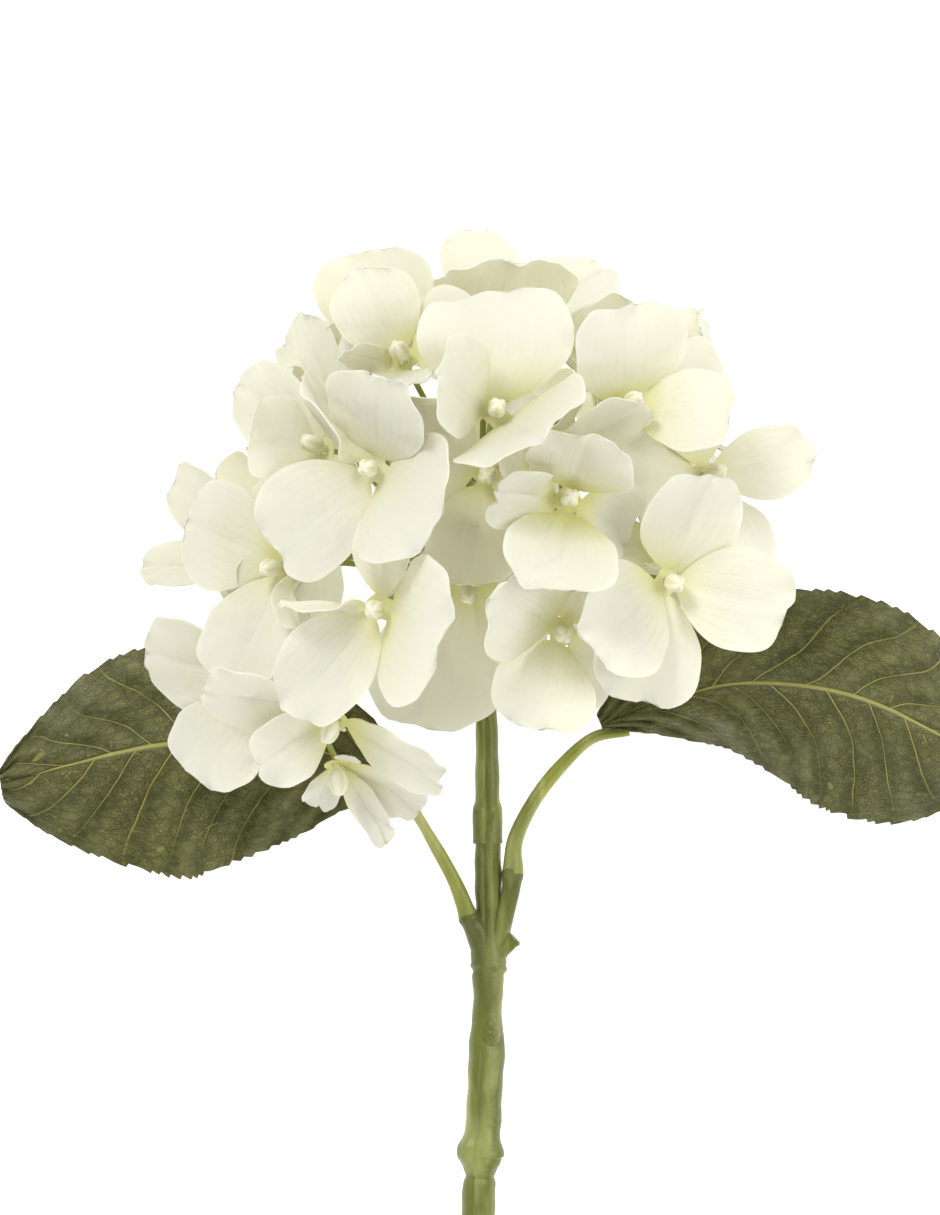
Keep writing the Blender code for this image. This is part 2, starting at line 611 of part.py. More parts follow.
def leaf_object(name, leaf, finish, home, parent):
    """The blade as one sheet with a thickness."""
    shares = 0.02 + 0.96 * np.linspace(0, 1, LEAF_ROWS)
    grid = leaf_grid(leaf, shares, (-1.0, -0.5, 0.0, 0.5, 1.0))
    work = bmesh.new()
    rows = [[work.verts.new(Vector(p) * MM) for p in row] for row in grid]
    for low, high in zip(rows[:-1], rows[1:]):
        for c in range(len(low) - 1):
            work.faces.new((low[c], high[c], high[c + 1], low[c + 1]))
    mesh = bpy.data.meshes.new(name)
    work.to_mesh(mesh)
    work.free()
    made = place_object(name, mesh, finish, home, parent)
    wall = made.modifiers.new("blade", "SOLIDIFY")
    wall.thickness = LEAF_SHEET * MM
    wall.offset = 0.0
    return made, thick_tree(grid, LEAF_SHEET / 2 + CLEARANCE)


def stem_radius(y):
    """The stem's radius at this height, with a swelling at each old leaf scar and at the fork."""
    radius = STEM_RADIUS if y < FORK_Y else STALK_RADIUS
    for scar in (*STEM_NODES_Y, FORK_Y + SWELLING_LENGTH):
        radius += SWELLING * math.exp(-((y - scar) / SWELLING_LENGTH) ** 2)
    return radius


def build():
    clear_scene()
    parts = collection("cut_hydrangea")
    guides = collection("joined_pieces")
    lying = bpy.data.objects.new("lying", None)
    parts.objects.link(lying)
    lying.rotation_euler = Euler((TILT, ROLL, 0.0))
    lying.location = SHIFT
    stem_green = material("stem_green", (0.16, 0.20, 0.05), 0.5)
    petiole_green = material("petiole_green", (0.25, 0.32, 0.09), 0.5)
    leaf_green = material("leaf_green", (0.05, 0.06, 0.02), 0.55)
    bead_cream = material("bead_cream", (0.72, 0.72, 0.55), 0.5)
    sepal_cream = material("sepal_cream", (0.85, 0.85, 0.70), 0.7)

    stem_route = smooth_route(STEM_ROUTE, 10)
    stem = tube("main_stem", stem_route, [stem_radius(p.y) for p in stem_route], stem_green, parts, lying)
    left_socket = tube("left_socket", LEFT_SOCKET, LEFT_SOCKET_RADII, stem_green, guides, lying)
    right_stub = tube("right_stub", RIGHT_STUB, RIGHT_STUB_RADII, stem_green, guides, lying)
    join_all(stem, [left_socket, right_stub])
    tube("flower_stalk", STALK_ROUTE, STALK_RADII, stem_green, parts, lying)
    for name, (points, first, last) in PETIOLES.items():
        route = smooth_route(points, 3)
        tube(name, route, list(np.linspace(first, last, len(route))), petiole_green, parts, lying)

    obstacles = [surface_tree(), rod_tree(STALK_ROUTE, [r + CLEARANCE for r in STALK_RADII])]
    for name, leaf in LEAVES.items():
        made, tree = leaf_object(name, leaf, leaf_green, parts, lying)
        obstacles.append(tree)

    florets = FRONT_FLORETS + back_florets()
    carried = {name: [] for name in BRANCHES}
    for one in florets:
        name = nearest_branch(one)
        carried[name].append(one)
        route = peg_route(Vector(BRANCHES[name]), one)
        obstacles.append(rod_tree(route, [PEG_RADIUS + CLEARANCE] * 3))
        facing = Vector(axes_of(one)[2])
        place = Vector(one["place"])
        obstacles.append(rod_tree([place - facing * 0.6, place + facing], [HUB_RADIUS] * 2))
        centre = place + facing * BEAD_HEIGHT
        ends = [centre - facing * BEAD_HALF_LENGTH * 0.8, centre + facing * BEAD_HALF_LENGTH]
        obstacles.append(rod_tree(ends, [BEAD_RADIUS] * 2))
    for name, way in BRANCHES.items():
        way = Vector(way).normalized()
        obstacles.append(rod_tree([way * TRUNK_START, way * TRUNK_END], [TRUNK_RADIUS + CLEARANCE] * 2))
    settle(florets, obstacles)
    for name, held in carried.items():
        if held:
            branch(name, held, bead_cream, parts, guides, lying)
    for n, one in enumerate(florets):
        floret_object("floret_%02d" % (n + 1), one, sepal_cream, parts, lying)


build()
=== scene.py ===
"""The looks of a cut hydrangea stem that lies on a pale floor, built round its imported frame.

The stem is shaped upright in its own growing frame, in millimetres: x to the right, y up the stem, z out of
the open face of the head, with the origin where the flower branches spread. LyingPose turns that frame into
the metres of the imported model, where the stem lies on its cut end and on the back of its head.
"""

import logging
import math
from collections.abc import Callable, Sequence
from dataclasses import dataclass, field
from enum import Enum

import bpy
import numpy as np
from mathutils import Euler, Matrix, Vector
from mathutils.bvhtree import BVHTree


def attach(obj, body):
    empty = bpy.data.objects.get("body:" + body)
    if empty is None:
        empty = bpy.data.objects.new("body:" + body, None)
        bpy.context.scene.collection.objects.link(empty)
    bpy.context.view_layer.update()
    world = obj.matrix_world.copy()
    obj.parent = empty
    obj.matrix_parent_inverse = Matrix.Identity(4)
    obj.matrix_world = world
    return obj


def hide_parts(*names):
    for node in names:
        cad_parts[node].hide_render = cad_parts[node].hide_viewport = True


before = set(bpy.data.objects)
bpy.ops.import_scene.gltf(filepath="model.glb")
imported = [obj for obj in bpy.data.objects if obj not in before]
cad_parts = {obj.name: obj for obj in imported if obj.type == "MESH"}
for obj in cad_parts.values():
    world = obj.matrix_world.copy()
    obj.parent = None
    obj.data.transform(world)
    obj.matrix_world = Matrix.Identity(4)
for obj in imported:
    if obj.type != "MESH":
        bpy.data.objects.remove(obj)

MM = 0.001
FULL_TURN = 2 * math.pi
OUTWARD = (0.0, 0.0, 1.0)
CLEARANCE = 0.15
ROUTE_STEPS = 16
MIDRIB_STEPS = 8
LOG = logging.getLogger("hydrangea")

Shape = Callable[[np.ndarray, np.ndarray], np.ndarray]
Relief = Callable[[np.ndarray, np.ndarray, np.ndarray], np.ndarray]
Point = tuple[float, float, float]
Colour = tuple[float, float, float, float]


class Slot(Enum):
    """The record's material slots."""

    STEM = "stem"
    PETIOLE = "petiole"
    LEAF = "leaf"
    BRANCH = "branch"
    SEPAL = "sepal"


# ---------------------------------------------------------------------------------------------------------
# Frames


@dataclass(frozen=True)
class LyingPose:
    """How the growing frame lies in the row frame."""

    tilt: float = math.radians(9.256)
    roll: float = math.radians(-2.043)
    shift: tuple[float, float, float] = (-3.02, 127.18, 59.64)

    def matrix(self) -> Matrix:
        """The growing frame, in millimetres, to the row frame, in metres."""
        turn = Euler((self.tilt, self.roll, 0.0)).to_matrix().to_4x4()
        return Matrix.Translation(Vector(self.shift) * MM) @ turn @ Matrix.Scale(MM, 4)

    def place(self, points: np.ndarray) -> np.ndarray:
        """Bring points into the row frame.

        Args:
            points: growing-frame points in millimetres, in the last axis.

        Returns:
            The same points in metres in the row frame.
        """
        matrix = np.array(self.matrix())
        return points @ matrix[:3, :3].T + matrix[:3, 3]


POSE = LyingPose()


def smooth_route(points: Sequence[Sequence[float]], steps: int) -> np.ndarray:
    """More points on a smooth curve through these.

    Args:
        points: the route's own points.
        steps: how many points to make for each stretch.

    Returns:
        An array of points.
    """
    given = [np.array(p, float) for p in points]
    ends = [2 * given[0] - given[1], *given, 2 * given[-1] - given[-2]]
    found = []
    for k in range(1, len(ends) - 2):
        a, b, c, d = ends[k - 1:k + 3]
        for step in range(steps):
            t = step / steps
            found.append(0.5 * ((2 * b) + (c - a) * t + (2 * a - 5 * b + 4 * c - d) * t ** 2
                                + (3 * b - a - 3 * c + d) * t ** 3))
    found.append(given[-1])
    return np.array(found)


def marks_of(line: np.ndarray) -> np.ndarray:
    """The share of a route's length at which each of its points lies."""
    marks = np.concatenate([[0], np.cumsum(np.linalg.norm(np.diff(line, axis=0), axis=1))])
    return marks / marks[-1]


def along(line: np.ndarray, marks: np.ndarray, share: np.ndarray) -> np.ndarray:
    """The points at these shares of a route."""
    return np.stack([np.interp(share, marks, line[:, k]) for k in range(3)], axis=-1)


def heading(line: np.ndarray, marks: np.ndarray, share: np.ndarray, step: float) -> np.ndarray:
    """The directions in which a route runs at these shares of it."""
    ahead = along(line, marks, share + step) - along(line, marks, share - step)
    return ahead / np.linalg.norm(ahead, axis=-1, keepdims=True)


def bell(value: np.ndarray, middle: float, width: float) -> np.ndarray:
    """1 at a middle value, falling off smoothly on both sides of it."""
    return np.exp(-((value - middle) / width) ** 2)


def arch(share: np.ndarray, power: float = 1.0) -> np.ndarray:
    """0 at both ends and 1 between them. A power below 1 moves the top towards the start."""
    return np.sin(math.pi * np.clip(share, 0, 1) ** power)


def turned(angle: np.ndarray, middle: float) -> np.ndarray:
    """How far round from a middle direction each angle is, the short way, in radians."""
    return np.angle(np.exp(1j * (angle - middle)))


# ---------------------------------------------------------------------------------------------------------
# Mesh work


def only(piece: bpy.types.Object) -> None:
    """Select this piece alone and make it active."""
    bpy.ops.object.select_all(action="DESELECT")
    piece.select_set(True)
    bpy.context.view_layer.objects.active = piece


def formed_grid(name: str, columns: int, rows: int, shape: Shape) -> bpy.types.Object:
    """A flat grid that is bent into a shape.

    Args:
        name: the new object's name.
        columns: faces across.
        rows: faces along.
        shape: takes shares along, 0 to 1, and sides across, -1 to 1, and gives growing-frame points.

    Returns:
        The bent grid, with its UV map across and along.
    """
    bpy.ops.object.select_all(action="DESELECT")
    bpy.ops.mesh.primitive_grid_add(x_subdivisions=columns, y_subdivisions=rows, size=2.0, location=(0, 0, 0))
    piece = bpy.context.active_object
    piece.name = name
    piece.data.name = name
    flat = np.empty(len(piece.data.vertices) * 3)
    piece.data.vertices.foreach_get("co", flat)
    flat = flat.reshape(-1, 3)
    points = POSE.place(shape((flat[:, 1] + 1) / 2, flat[:, 0]))
    piece.data.vertices.foreach_set("co", points.ravel())
    piece.data.update()
    return piece


def weld(piece: bpy.types.Object, within: float = 0.01, cap: bool = True) -> None:
    """Merge points this many millimetres apart, cap open ends if asked to, and turn the faces outwards."""
    only(piece)
    bpy.ops.object.mode_set(mode="EDIT")
    bpy.ops.mesh.select_all(action="SELECT")
    bpy.ops.mesh.remove_doubles(threshold=within * MM)
    if cap:
        bpy.ops.mesh.select_all(action="DESELECT")
        bpy.ops.mesh.select_non_manifold(extend=False, use_boundary=True, use_multi_face=False,
                                         use_non_contiguous=False, use_verts=False, use_wire=False)
        bpy.ops.mesh.edge_face_add()
        bpy.ops.mesh.select_all(action="SELECT")
    bpy.ops.mesh.normals_make_consistent(inside=False)
    bpy.ops.object.mode_set(mode="OBJECT")


def thicken(piece: bpy.types.Object, thickness: float) -> None:
    """Give a sheet its thickness in millimetres, half to each side, and shade it smooth but for its rim."""
    only(piece)
    wall = piece.modifiers.new("thickness", "SOLIDIFY")
    wall.thickness = thickness * MM
    wall.offset = 0.0
    bpy.ops.object.modifier_apply(modifier=wall.name)
    smooth(piece, 60.0)


def smooth(piece: bpy.types.Object, angle: float = 50.0) -> None:
    """Shade smooth up to this angle, in degrees."""
    only(piece)
    bpy.ops.object.shade_smooth_by_angle(angle=math.radians(angle))


def joined(name: str, pieces: Sequence[bpy.types.Object]) -> bpy.types.Object:
    """Several pieces made one object of this name."""
    bpy.ops.object.select_all(action="DESELECT")
    for piece in pieces:
        piece.select_set(True)
    bpy.context.view_layer.objects.active = pieces[0]
    if len(pieces) > 1:
        bpy.ops.object.join()
    pieces[0].name = name
    pieces[0].data.name = name
    return pieces[0]


def dress(piece: bpy.types.Object, finish: bpy.types.Material, slot: Slot, *nodes: str) -> bpy.types.Object:
    """Give a piece its finish and its body, and hide the nodes that it stands for."""
    piece.data.materials.clear()
    piece.data.materials.append(finish)
    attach(piece, "root")
    if nodes:
        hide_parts(*nodes)
    LOG.info("%s: %d faces", piece.name, len(piece.data.polygons))
    return piece


@dataclass
class Tube:
    """A round rod along a route, whose radius may change along it and round it.

    relief takes the height along the route in the growing frame's y, the share along it and the angle round
    it, and gives millimetres to add to the radius.
    """

    name: str
    route: Sequence[Sequence[float]]
    radii: Sequence[float]
    around: int
    rows: int
    relief: Relief | None = None

    def build(self) -> bpy.types.Object:
        """The closed rod."""
        line = smooth_route(self.route, ROUTE_STEPS)
        marks = marks_of(line)
        radius_marks = np.linspace(0, 1, len(self.radii))

        def shape(share: np.ndarray, side: np.ndarray) -> np.ndarray:
            centre = along(line, marks, share)
            ahead = heading(line, marks, share, 0.01)
            right = np.cross(ahead, OUTWARD)
            right /= np.linalg.norm(right, axis=1, keepdims=True)
            out = np.cross(right, ahead)
            angle = side * math.pi
            radius = np.interp(share, radius_marks, self.radii)
            if self.relief:
                radius = radius + self.relief(centre[:, 1], share, angle)
            return centre + radius[:, None] * (right * np.cos(angle)[:, None] + out * np.sin(angle)[:, None])

        piece = formed_grid(self.name, self.around, self.rows, shape)
        weld(piece)
        smooth(piece)
        return piece


# ---------------------------------------------------------------------------------------------------------
# Florets


@dataclass
class Sepal:
    """One petal-like sepal: its size in millimetres and its bends in degrees."""

    length: float
    width: float
    around: float
    cup: float
    curl: float
    roll: float
    trough: float
    wave: float
    phase: float
    lift: float


@dataclass
class FloretForm:
    """Sizes that all florets share, in millimetres."""

    sepal_length: float = 27.0
    sepal_width: float = 27.0
    sheet: float = 0.4
    hub_radius: float = 3.0
    hole_radius: float = 1.15
    base_share: float = 0.09
    widest_at: float = 0.55
    peg_radius: float = 0.75
    bead_radius: float = 2.1
    bead_half_length: float = 2.9
    bead_height: float = 4.6

    def half_width(self, share: np.ndarray) -> np.ndarray:
        """Half a sepal's width at each share of its length: a wedge that opens, then a round end."""
        share = np.clip(share, 0.0, 1.0)
        part = np.clip(share / self.widest_at, 0, 1)
        opening = self.base_share + (1 - self.base_share) * np.sin(0.5 * math.pi * part) ** 0.9
        closing = np.sqrt(np.clip(1 - ((share - self.widest_at) / (1 - self.widest_at)) ** 2, 0, 1))
        return np.where(share < self.widest_at, opening, closing)

    def bent(self, sepal: Sepal, share: np.ndarray,
             side: np.ndarray) -> tuple[np.ndarray, np.ndarray, np.ndarray]:
        """Bend a sepal's sheet.

        Args:
            sepal: its size and bends.
            share: 0 at the hub to 1 at the tip.
            side: -1 to 1 across the sheet.

        Returns:
            Distances out from the hub, sideways, and towards the bead.
        """
        steps = np.linspace(0.0, 1.0, 25)
        start, curl = math.radians(sepal.cup), math.radians(sepal.curl)
        slope = start + curl * steps ** 1.5
        middle = 0.5 * (slope[1:] + slope[:-1])
        out = np.concatenate([[0.0], np.cumsum(np.cos(middle))]) * sepal.length / 24
        lift = np.concatenate([[0.0], np.cumsum(np.sin(middle))]) * sepal.length / 24
        here_out, here_lift = np.interp(share, steps, out), np.interp(share, steps, lift)
        here = start + curl * np.clip(share, 0, 1) ** 1.5
        rolled = np.radians(sepal.roll * np.minimum(1.0, share * 3))
        across = side * self.half_width(share) * sepal.width / 2
        bend = math.radians(sepal.trough) / (sepal.width / 2)
        sideways = np.sin(bend * across) / bend
        height = (1 - np.cos(bend * across)) / bend
        swing = 4.4 * math.pi * across / (2 * sepal.width) + sepal.phase + 3 * share
        height = height + sepal.wave * share ** 2 * np.abs(2 * across / sepal.width) ** 1.5 * np.sin(swing)
        height = height + self.ruffle(sepal, share, side)
        further, wider = self.outline(sepal, share, side)
        here_out, sideways = here_out + further * np.cos(here), sideways + wider
        tipped = sideways * np.sin(rolled) + height * np.cos(rolled)
        flat = sideways * np.cos(rolled) - height * np.sin(rolled)
        return here_out - tipped * np.sin(here), flat, here_lift + tipped * np.cos(here)

    def ruffle(self, sepal: Sepal, share: np.ndarray, side: np.ndarray) -> np.ndarray:
        """Small folds that show only in the finished sheet. The plain form has none."""
        return np.zeros_like(share)

    def outline(self, sepal: Sepal, share: np.ndarray, side: np.ndarray) -> tuple[np.ndarray, np.ndarray]:
        """How far the margin reaches out and sideways beyond the plain form's, which adds nothing."""
        return np.zeros_like(share), np.zeros_like(share)


@dataclass
class FineForm(FloretForm):
    """The floret's form with a pressed midline and a frilled margin."""

    crease: float = 0.7
    crease_width: float = 0.09
    frill: float = 0.72
    pleat: float = 0.22
    uneven: float = 0.9
    fullness: float = 2.5
    full_base: float = 0.14
    margin_start: float = 0.72
    middle: float = 0.35
    grown: float = 20.0

    def half_width(self, share: np.ndarray) -> np.ndarray:
        """As the plain form's, with a broader, squarer end."""
        share = np.clip(share, 0.0, 1.0)
        part = np.clip(share / self.widest_at, 0, 1)
        opening = self.full_base + (1 - self.full_base) * np.sin(0.5 * math.pi * part) ** 0.74
        end = np.clip((share - self.widest_at) / (1 - self.widest_at), 0, 1)
        return np.where(share < self.widest_at, opening, (1 - end ** self.fullness) ** (1 / self.fullness))

    def near_margin(self, share: np.ndarray, side: np.ndarray) -> tuple[np.ndarray, np.ndarray]:
        """How near a point is to the margin, 0 to 1, and the direction it lies in from the sepal's middle."""
        end = np.clip((share - self.margin_start) / (1 - self.margin_start), 0, 1)
        near = np.maximum(np.abs(side) ** 3, end ** 2)
        return near * share, np.arctan2(side * self.half_width(share) * 0.9, share - self.middle)

    def outline(self, sepal: Sepal, share: np.ndarray, side: np.ndarray) -> tuple[np.ndarray, np.ndarray]:
        """Shallow lobes and notches of the margin, different for every sepal."""
        near, turn = self.near_margin(share, side)
        own = 2.3 * sepal.phase + 0.11 * sepal.around
        lobe = np.sin(3 * turn + own) + 0.55 * np.sin(5 * turn + 2 * own)
        notch = 0.3 * np.sin(11 * turn + 3 * own)
        reach = self.uneven * min(1.0, sepal.length / self.grown) * near * (lobe + notch)
        return reach * np.cos(turn), reach * np.sin(turn)

    def ruffle(self, sepal: Sepal, share: np.ndarray, side: np.ndarray) -> np.ndarray:
        """A shallow valley along the middle, slow swells, and short waves that grow towards the margin."""
        size = min(1.0, sepal.length / self.grown)
        across = side * self.half_width(share)
        valley = -self.crease * bell(across, 0.0, self.crease_width) * arch(share) ** 1.2
        near, turn = self.near_margin(share, side)
        own = 3 * sepal.phase + 0.07 * sepal.around
        frill = np.sin(7 * turn + own) + 0.6 * np.sin(13 * turn + 2 * own + 1.0)
        swell = np.sin(5 * share + own) * np.sin(2.8 * across + 2 * own) * share
        pleat = self.pleat * np.sin(15 * turn + own) * arch(share) ** 2
        return size * (valley + self.frill * near * frill + swell + pleat)


@dataclass
class Floret:
    """One floret: where its sheet is, the way it faces, and the sepals that differ from the rest.

    turn is how far it faces to the right and rise how far it faces up, in degrees. spin is the direction of
    sepal 0 round the bead, and cup how far the sepals stand up out of its plane.
    """

    place: Sequence[float]
    turn: float
    rise: float
    spin: float
    cup: float = 28
    size: float = 1.0
    curl: float = -12
    changes: dict[int, dict[str, float]] = field(default_factory=dict)
    laid: list[Sepal] = field(default_factory=list)

    @property
    def centre(self) -> np.ndarray:
        """The middle of the sheet."""
        return np.array(self.place, float)

    def axes(self) -> tuple[np.ndarray, np.ndarray, np.ndarray]:
        """The floret's right, up and facing directions."""
        turn, rise = math.radians(self.turn), math.radians(self.rise)
        right = np.array((math.cos(turn), 0.0, -math.sin(turn)))
        up = np.array((-math.sin(turn) * math.sin(rise), math.cos(rise),
                       -math.cos(turn) * math.sin(rise)))
        facing = np.array((math.sin(turn) * math.cos(rise), math.sin(rise),
                           math.cos(turn) * math.cos(rise)))
        return right, up, facing

    def sepal(self, form: FloretForm, k: int) -> Sepal:
        """The sizes and bends of sepal k as drawn."""
        change = self.changes.get(k, {})
        return Sepal(
            length=form.sepal_length * self.size * change.get("long", 1.0),
            width=form.sepal_width * self.size * change.get("wide", 1.0),
            around=self.spin + 90.0 * k + change.get("turn", 0.0),
            cup=change.get("cup", self.cup + 4 * (k % 2)),
            curl=change.get("curl", self.curl),
            roll=change.get("roll", 0.0),
            trough=change.get("trough", 14.0),
            wave=change.get("wave", 0.8),
            phase=1.7 * k,
            lift=change.get("lift", 0.7 * (k % 2)),
        )

    def points(self, form: FloretForm, sepal: Sepal, share: np.ndarray, side: np.ndarray) -> np.ndarray:
        """Growing-frame points of a sepal's sheet."""
        out, flat, lift = form.bent(sepal, share, side)
        right, up, facing = self.axes()
        around = math.radians(sepal.around)
        ahead = right * math.cos(around) + up * math.sin(around)
        beside = up * math.cos(around) - right * math.sin(around)
        base = self.centre + facing * sepal.lift
        level = base + (out + form.hub_radius)[..., None] * ahead + flat[..., None] * beside
        return level + lift[..., None] * facing


def floret(place: Sequence[float], turn: float, rise: float, spin: float, cup: float = 28, size: float = 1.0,
           curl: float = -12, **sepals: dict[str, float]) -> Floret:
    """A floret of the table: s0 to s3 say how single sepals differ from the rest."""
    changes = {int(key[1:]): change for key, change in sepals.items()}
    return Floret(place, turn, rise, spin, cup, size, curl, changes)


def front_florets() -> list[Floret]:
    """The florets of the open face and the crown, most important first."""
    return [
        floret((-25.8, 24.6, 52.6), -18, 0, 217, 24, s0=dict(cup=8, long=1.08),
               s1=dict(turn=18, cup=43, wide=1.32),
               s2=dict(turn=14, cup=42, wide=0.95, lift=0.7),
               s3=dict(turn=-2, cup=32, roll=84, long=0.9, wide=0.7)),
        floret((2.4, 37.3, 57.5), 5, 12, 90, 30, s0=dict(cup=38, curl=-62, wide=1.35, wave=1.6),
               s1=dict(turn=-20, cup=55, wide=0.9, long=0.9),
               s2=dict(turn=-84, cup=4, roll=-80, wide=0.7, long=1.05),
               s3=dict(turn=-53, cup=68, wide=1.35, long=0.95)),
        floret((42.9, -1.9, 48.7), 20, -5, 79, 22, s0=dict(cup=30, long=0.95, wide=0.95),
               s1=dict(turn=42, cup=30, lift=1.2, wide=1.08), s2=dict(turn=-5, cup=8, long=1.0),
               s3=dict(turn=-1, cup=28, long=1.0, wide=0.92)),
        floret((14.0, 26.0, 44.0), 10, 20, 65, 25, s0=dict(roll=80, wide=0.7, cup=40),
               s1=dict(cup=8, long=0.7),
               s2=dict(cup=0, long=0.8), s3=dict(turn=44, roll=70, wide=0.66, cup=40, long=1.0)),
        floret((-24.8, -7.8, 55.5), -12, -8, 84, 30, s0=dict(cup=8, wide=0.55, long=0.8),
               s1=dict(turn=2, cup=22, roll=-84, long=0.75, wide=0.3, lift=1.6),
               s2=dict(turn=-36, cup=8, wide=0.86, long=1.12, lift=0.0),
               s3=dict(turn=-12, cup=54, wide=1.35)),
        floret((18.2, -13.7, 47.5), 5, -8, 60, 24, s0=dict(turn=15, cup=22, long=0.62, wide=0.85),
               s1=dict(turn=-6, cup=54, wide=1.08),
               s2=dict(turn=10, cup=36, long=0.82, wide=0.92), s3=dict(cup=-18, long=0.8)),
        floret((19.4, 17.1, 55.4), 5, 5, 30, 30, s0=dict(turn=44, cup=62, wide=1.0, long=0.8, curl=-20),
               s1=dict(turn=60, cup=40, wide=0.62, long=0.72, roll=-45), s2=dict(turn=38, cup=8),
               s3=dict(turn=16, cup=18, long=0.8)),
        floret((0.5, 23.6, 45.4), 0, -5, 259, 24, s0=dict(wide=0.86, long=0.92), s1=dict(long=0.6),
               s2=dict(long=0.4),
               s3=dict(long=0.7)),
        floret((-48.3, 1.8, 34.2), -35, -5, 150, 25, s0=dict(long=0.9), s1=dict(turn=12, long=1.1, wide=0.92),
               s2=dict(turn=-35, cup=32, roll=80, long=0.75, wide=0.5), s3=dict(turn=-10, cup=0, long=0.7)),
        floret((-4.0, -2.1, 34.0), 0, -30, 250, 20, s0=dict(wide=1.3, long=1.3), s1=dict(long=0.8),
               s2=dict(long=0.6),
               s3=dict(long=0.7)),
        floret((-55.7, -27.2, 17.2), -50, -20, 145, 36, s1=dict(turn=-2, wide=1.22, long=0.92, cup=46),
               s2=dict(cup=15, long=0.35), s3=dict(cup=15, long=0.5)),
        floret((-19.0, 50.4, 44.0), -15, 25, 104, 34, s0=dict(long=0.8, wide=0.8),
               s1=dict(cup=48, roll=-76, long=0.5, wide=0.34),
               s2=dict(cup=46, wide=0.8, long=0.8, lift=0.7), s3=dict(cup=8, long=0.7)),
        floret((33.0, 38.3, 46.2), 25, 25, 100, 38, s0=dict(wide=1.15, long=0.92, curl=-45, wave=1.5),
               s1=dict(cup=50, long=0.4), s2=dict(turn=-15, cup=15, long=0.85),
               s3=dict(turn=-35, cup=52, wide=0.85, long=0.85)),
        floret((-35.5, -34.6, 34.8), -25, -40, 130, 20, s0=dict(cup=36, wide=0.8, long=1.15),
               s1=dict(turn=-32, cup=52, long=0.75, wide=0.72),
               s2=dict(turn=-40, long=0.6), s3=dict(turn=-60, wide=0.6, long=1.1)),
        floret((-38.0, 29.7, 36.8), -40, 15, 146, 32, s0=dict(wide=0.72, long=0.95),
               s1=dict(turn=-36, cup=60, long=0.72),
               s2=dict(turn=-30, cup=10, long=0.7), s3=dict(turn=10, cup=10, long=0.5)),
        floret((53.0, 24.0, 31.0), 30, 5, 10, 25, s0=dict(long=0.93, wide=0.68),
               s1=dict(long=1.1, wide=0.9, turn=6, cup=34),
               s2=dict(long=0.7), s3=dict(long=0.9, turn=-10)),
        floret((6.3, 59.0, 20.0), 0, 62, 122, 50, s0=dict(wide=0.8), s1=dict(long=0.8, cup=36),
               s2=dict(turn=-30, cup=66, wide=1.2, lift=1.6), s3=dict(wide=1.0)),
        floret((44.8, 5.2, 37.0), 15, 5, 171, 20, s0=dict(roll=30, cup=32, wide=0.6, long=0.95),
               s1=dict(long=0.4), s2=dict(long=0.5), s3=dict(long=0.4)),
        floret((-34.0, 37.0, 34.0), -25, 30, 116, 36, s0=dict(wide=0.38, long=0.95), s1=dict(long=0.2),
               s2=dict(long=0.2), s3=dict(turn=45, wide=0.4, long=0.85)),
        floret((-25.5, 53.5, 17.0), -20, 50, 98, 42, s0=dict(wide=1.1, long=0.92),
               s1=dict(turn=-6, long=0.8, wide=0.8),
               s2=dict(long=0.7), s3=dict(long=0.7)),
        floret((-36.0, -46.0, 26.0), 15, -60, -15, 34, 0.8, s0=dict(wide=0.75), s1=dict(long=0.3),
               s2=dict(turn=115, wide=0.45, long=0.65), s3=dict(turn=62, wide=0.42)),
        floret((-57.5, 4.5, 12.0), -65, 5, 130, 40, s0=dict(wide=0.85), s1=dict(turn=-27, cup=52, wide=0.45),
               s2=dict(long=0.7), s3=dict(turn=20, cup=24, long=0.6)),
        floret((24.0, 50.0, 17.0), 30, 50, 110, 38, s0=dict(long=0.9), s3=dict(turn=10, long=0.75)),
        floret((46.0, 41.0, 6.0), 60, 30, 54, 35, s0=dict(wide=0.6, long=0.95), s3=dict(long=0.45)),
    ]


def thick_tree(grid: np.ndarray, half: float) -> BVHTree:
    """A search tree of a sheet of points, thickened by half on both sides."""
    normal = np.cross(np.gradient(grid, axis=0), np.gradient(grid, axis=1))
    normal /= np.maximum(np.linalg.norm(normal, axis=-1, keepdims=True), 1e-9)
    rows, columns = grid.shape[:2]
    points = np.concatenate([(grid + normal * half).reshape(-1, 3), (grid - normal * half).reshape(-1, 3)])
    index = np.arange(rows * columns).reshape(rows, columns)
    faces = []
    for layer in (0, rows * columns):
        for r in range(rows - 1):
            for c in range(columns - 1):
                a, b, d, e = (index[r, c] + layer, index[r, c + 1] + layer,
                              index[r + 1, c + 1] + layer, index[r + 1, c] + layer)
                faces += [(a, b, d), (a, d, e)]
    rim = list(index[0]) + list(index[1:, -1]) + list(index[-1, ::-1][1:]) + list(index[::-1, 0][1:])
    for a, b in zip(rim[:-1], rim[1:]):
        faces += [(a, b, b + rows * columns), (a, b + rows * columns, a + rows * columns)]
    return BVHTree.FromPolygons([Vector(p) for p in points], [tuple(int(v) for v in f) for f in faces])


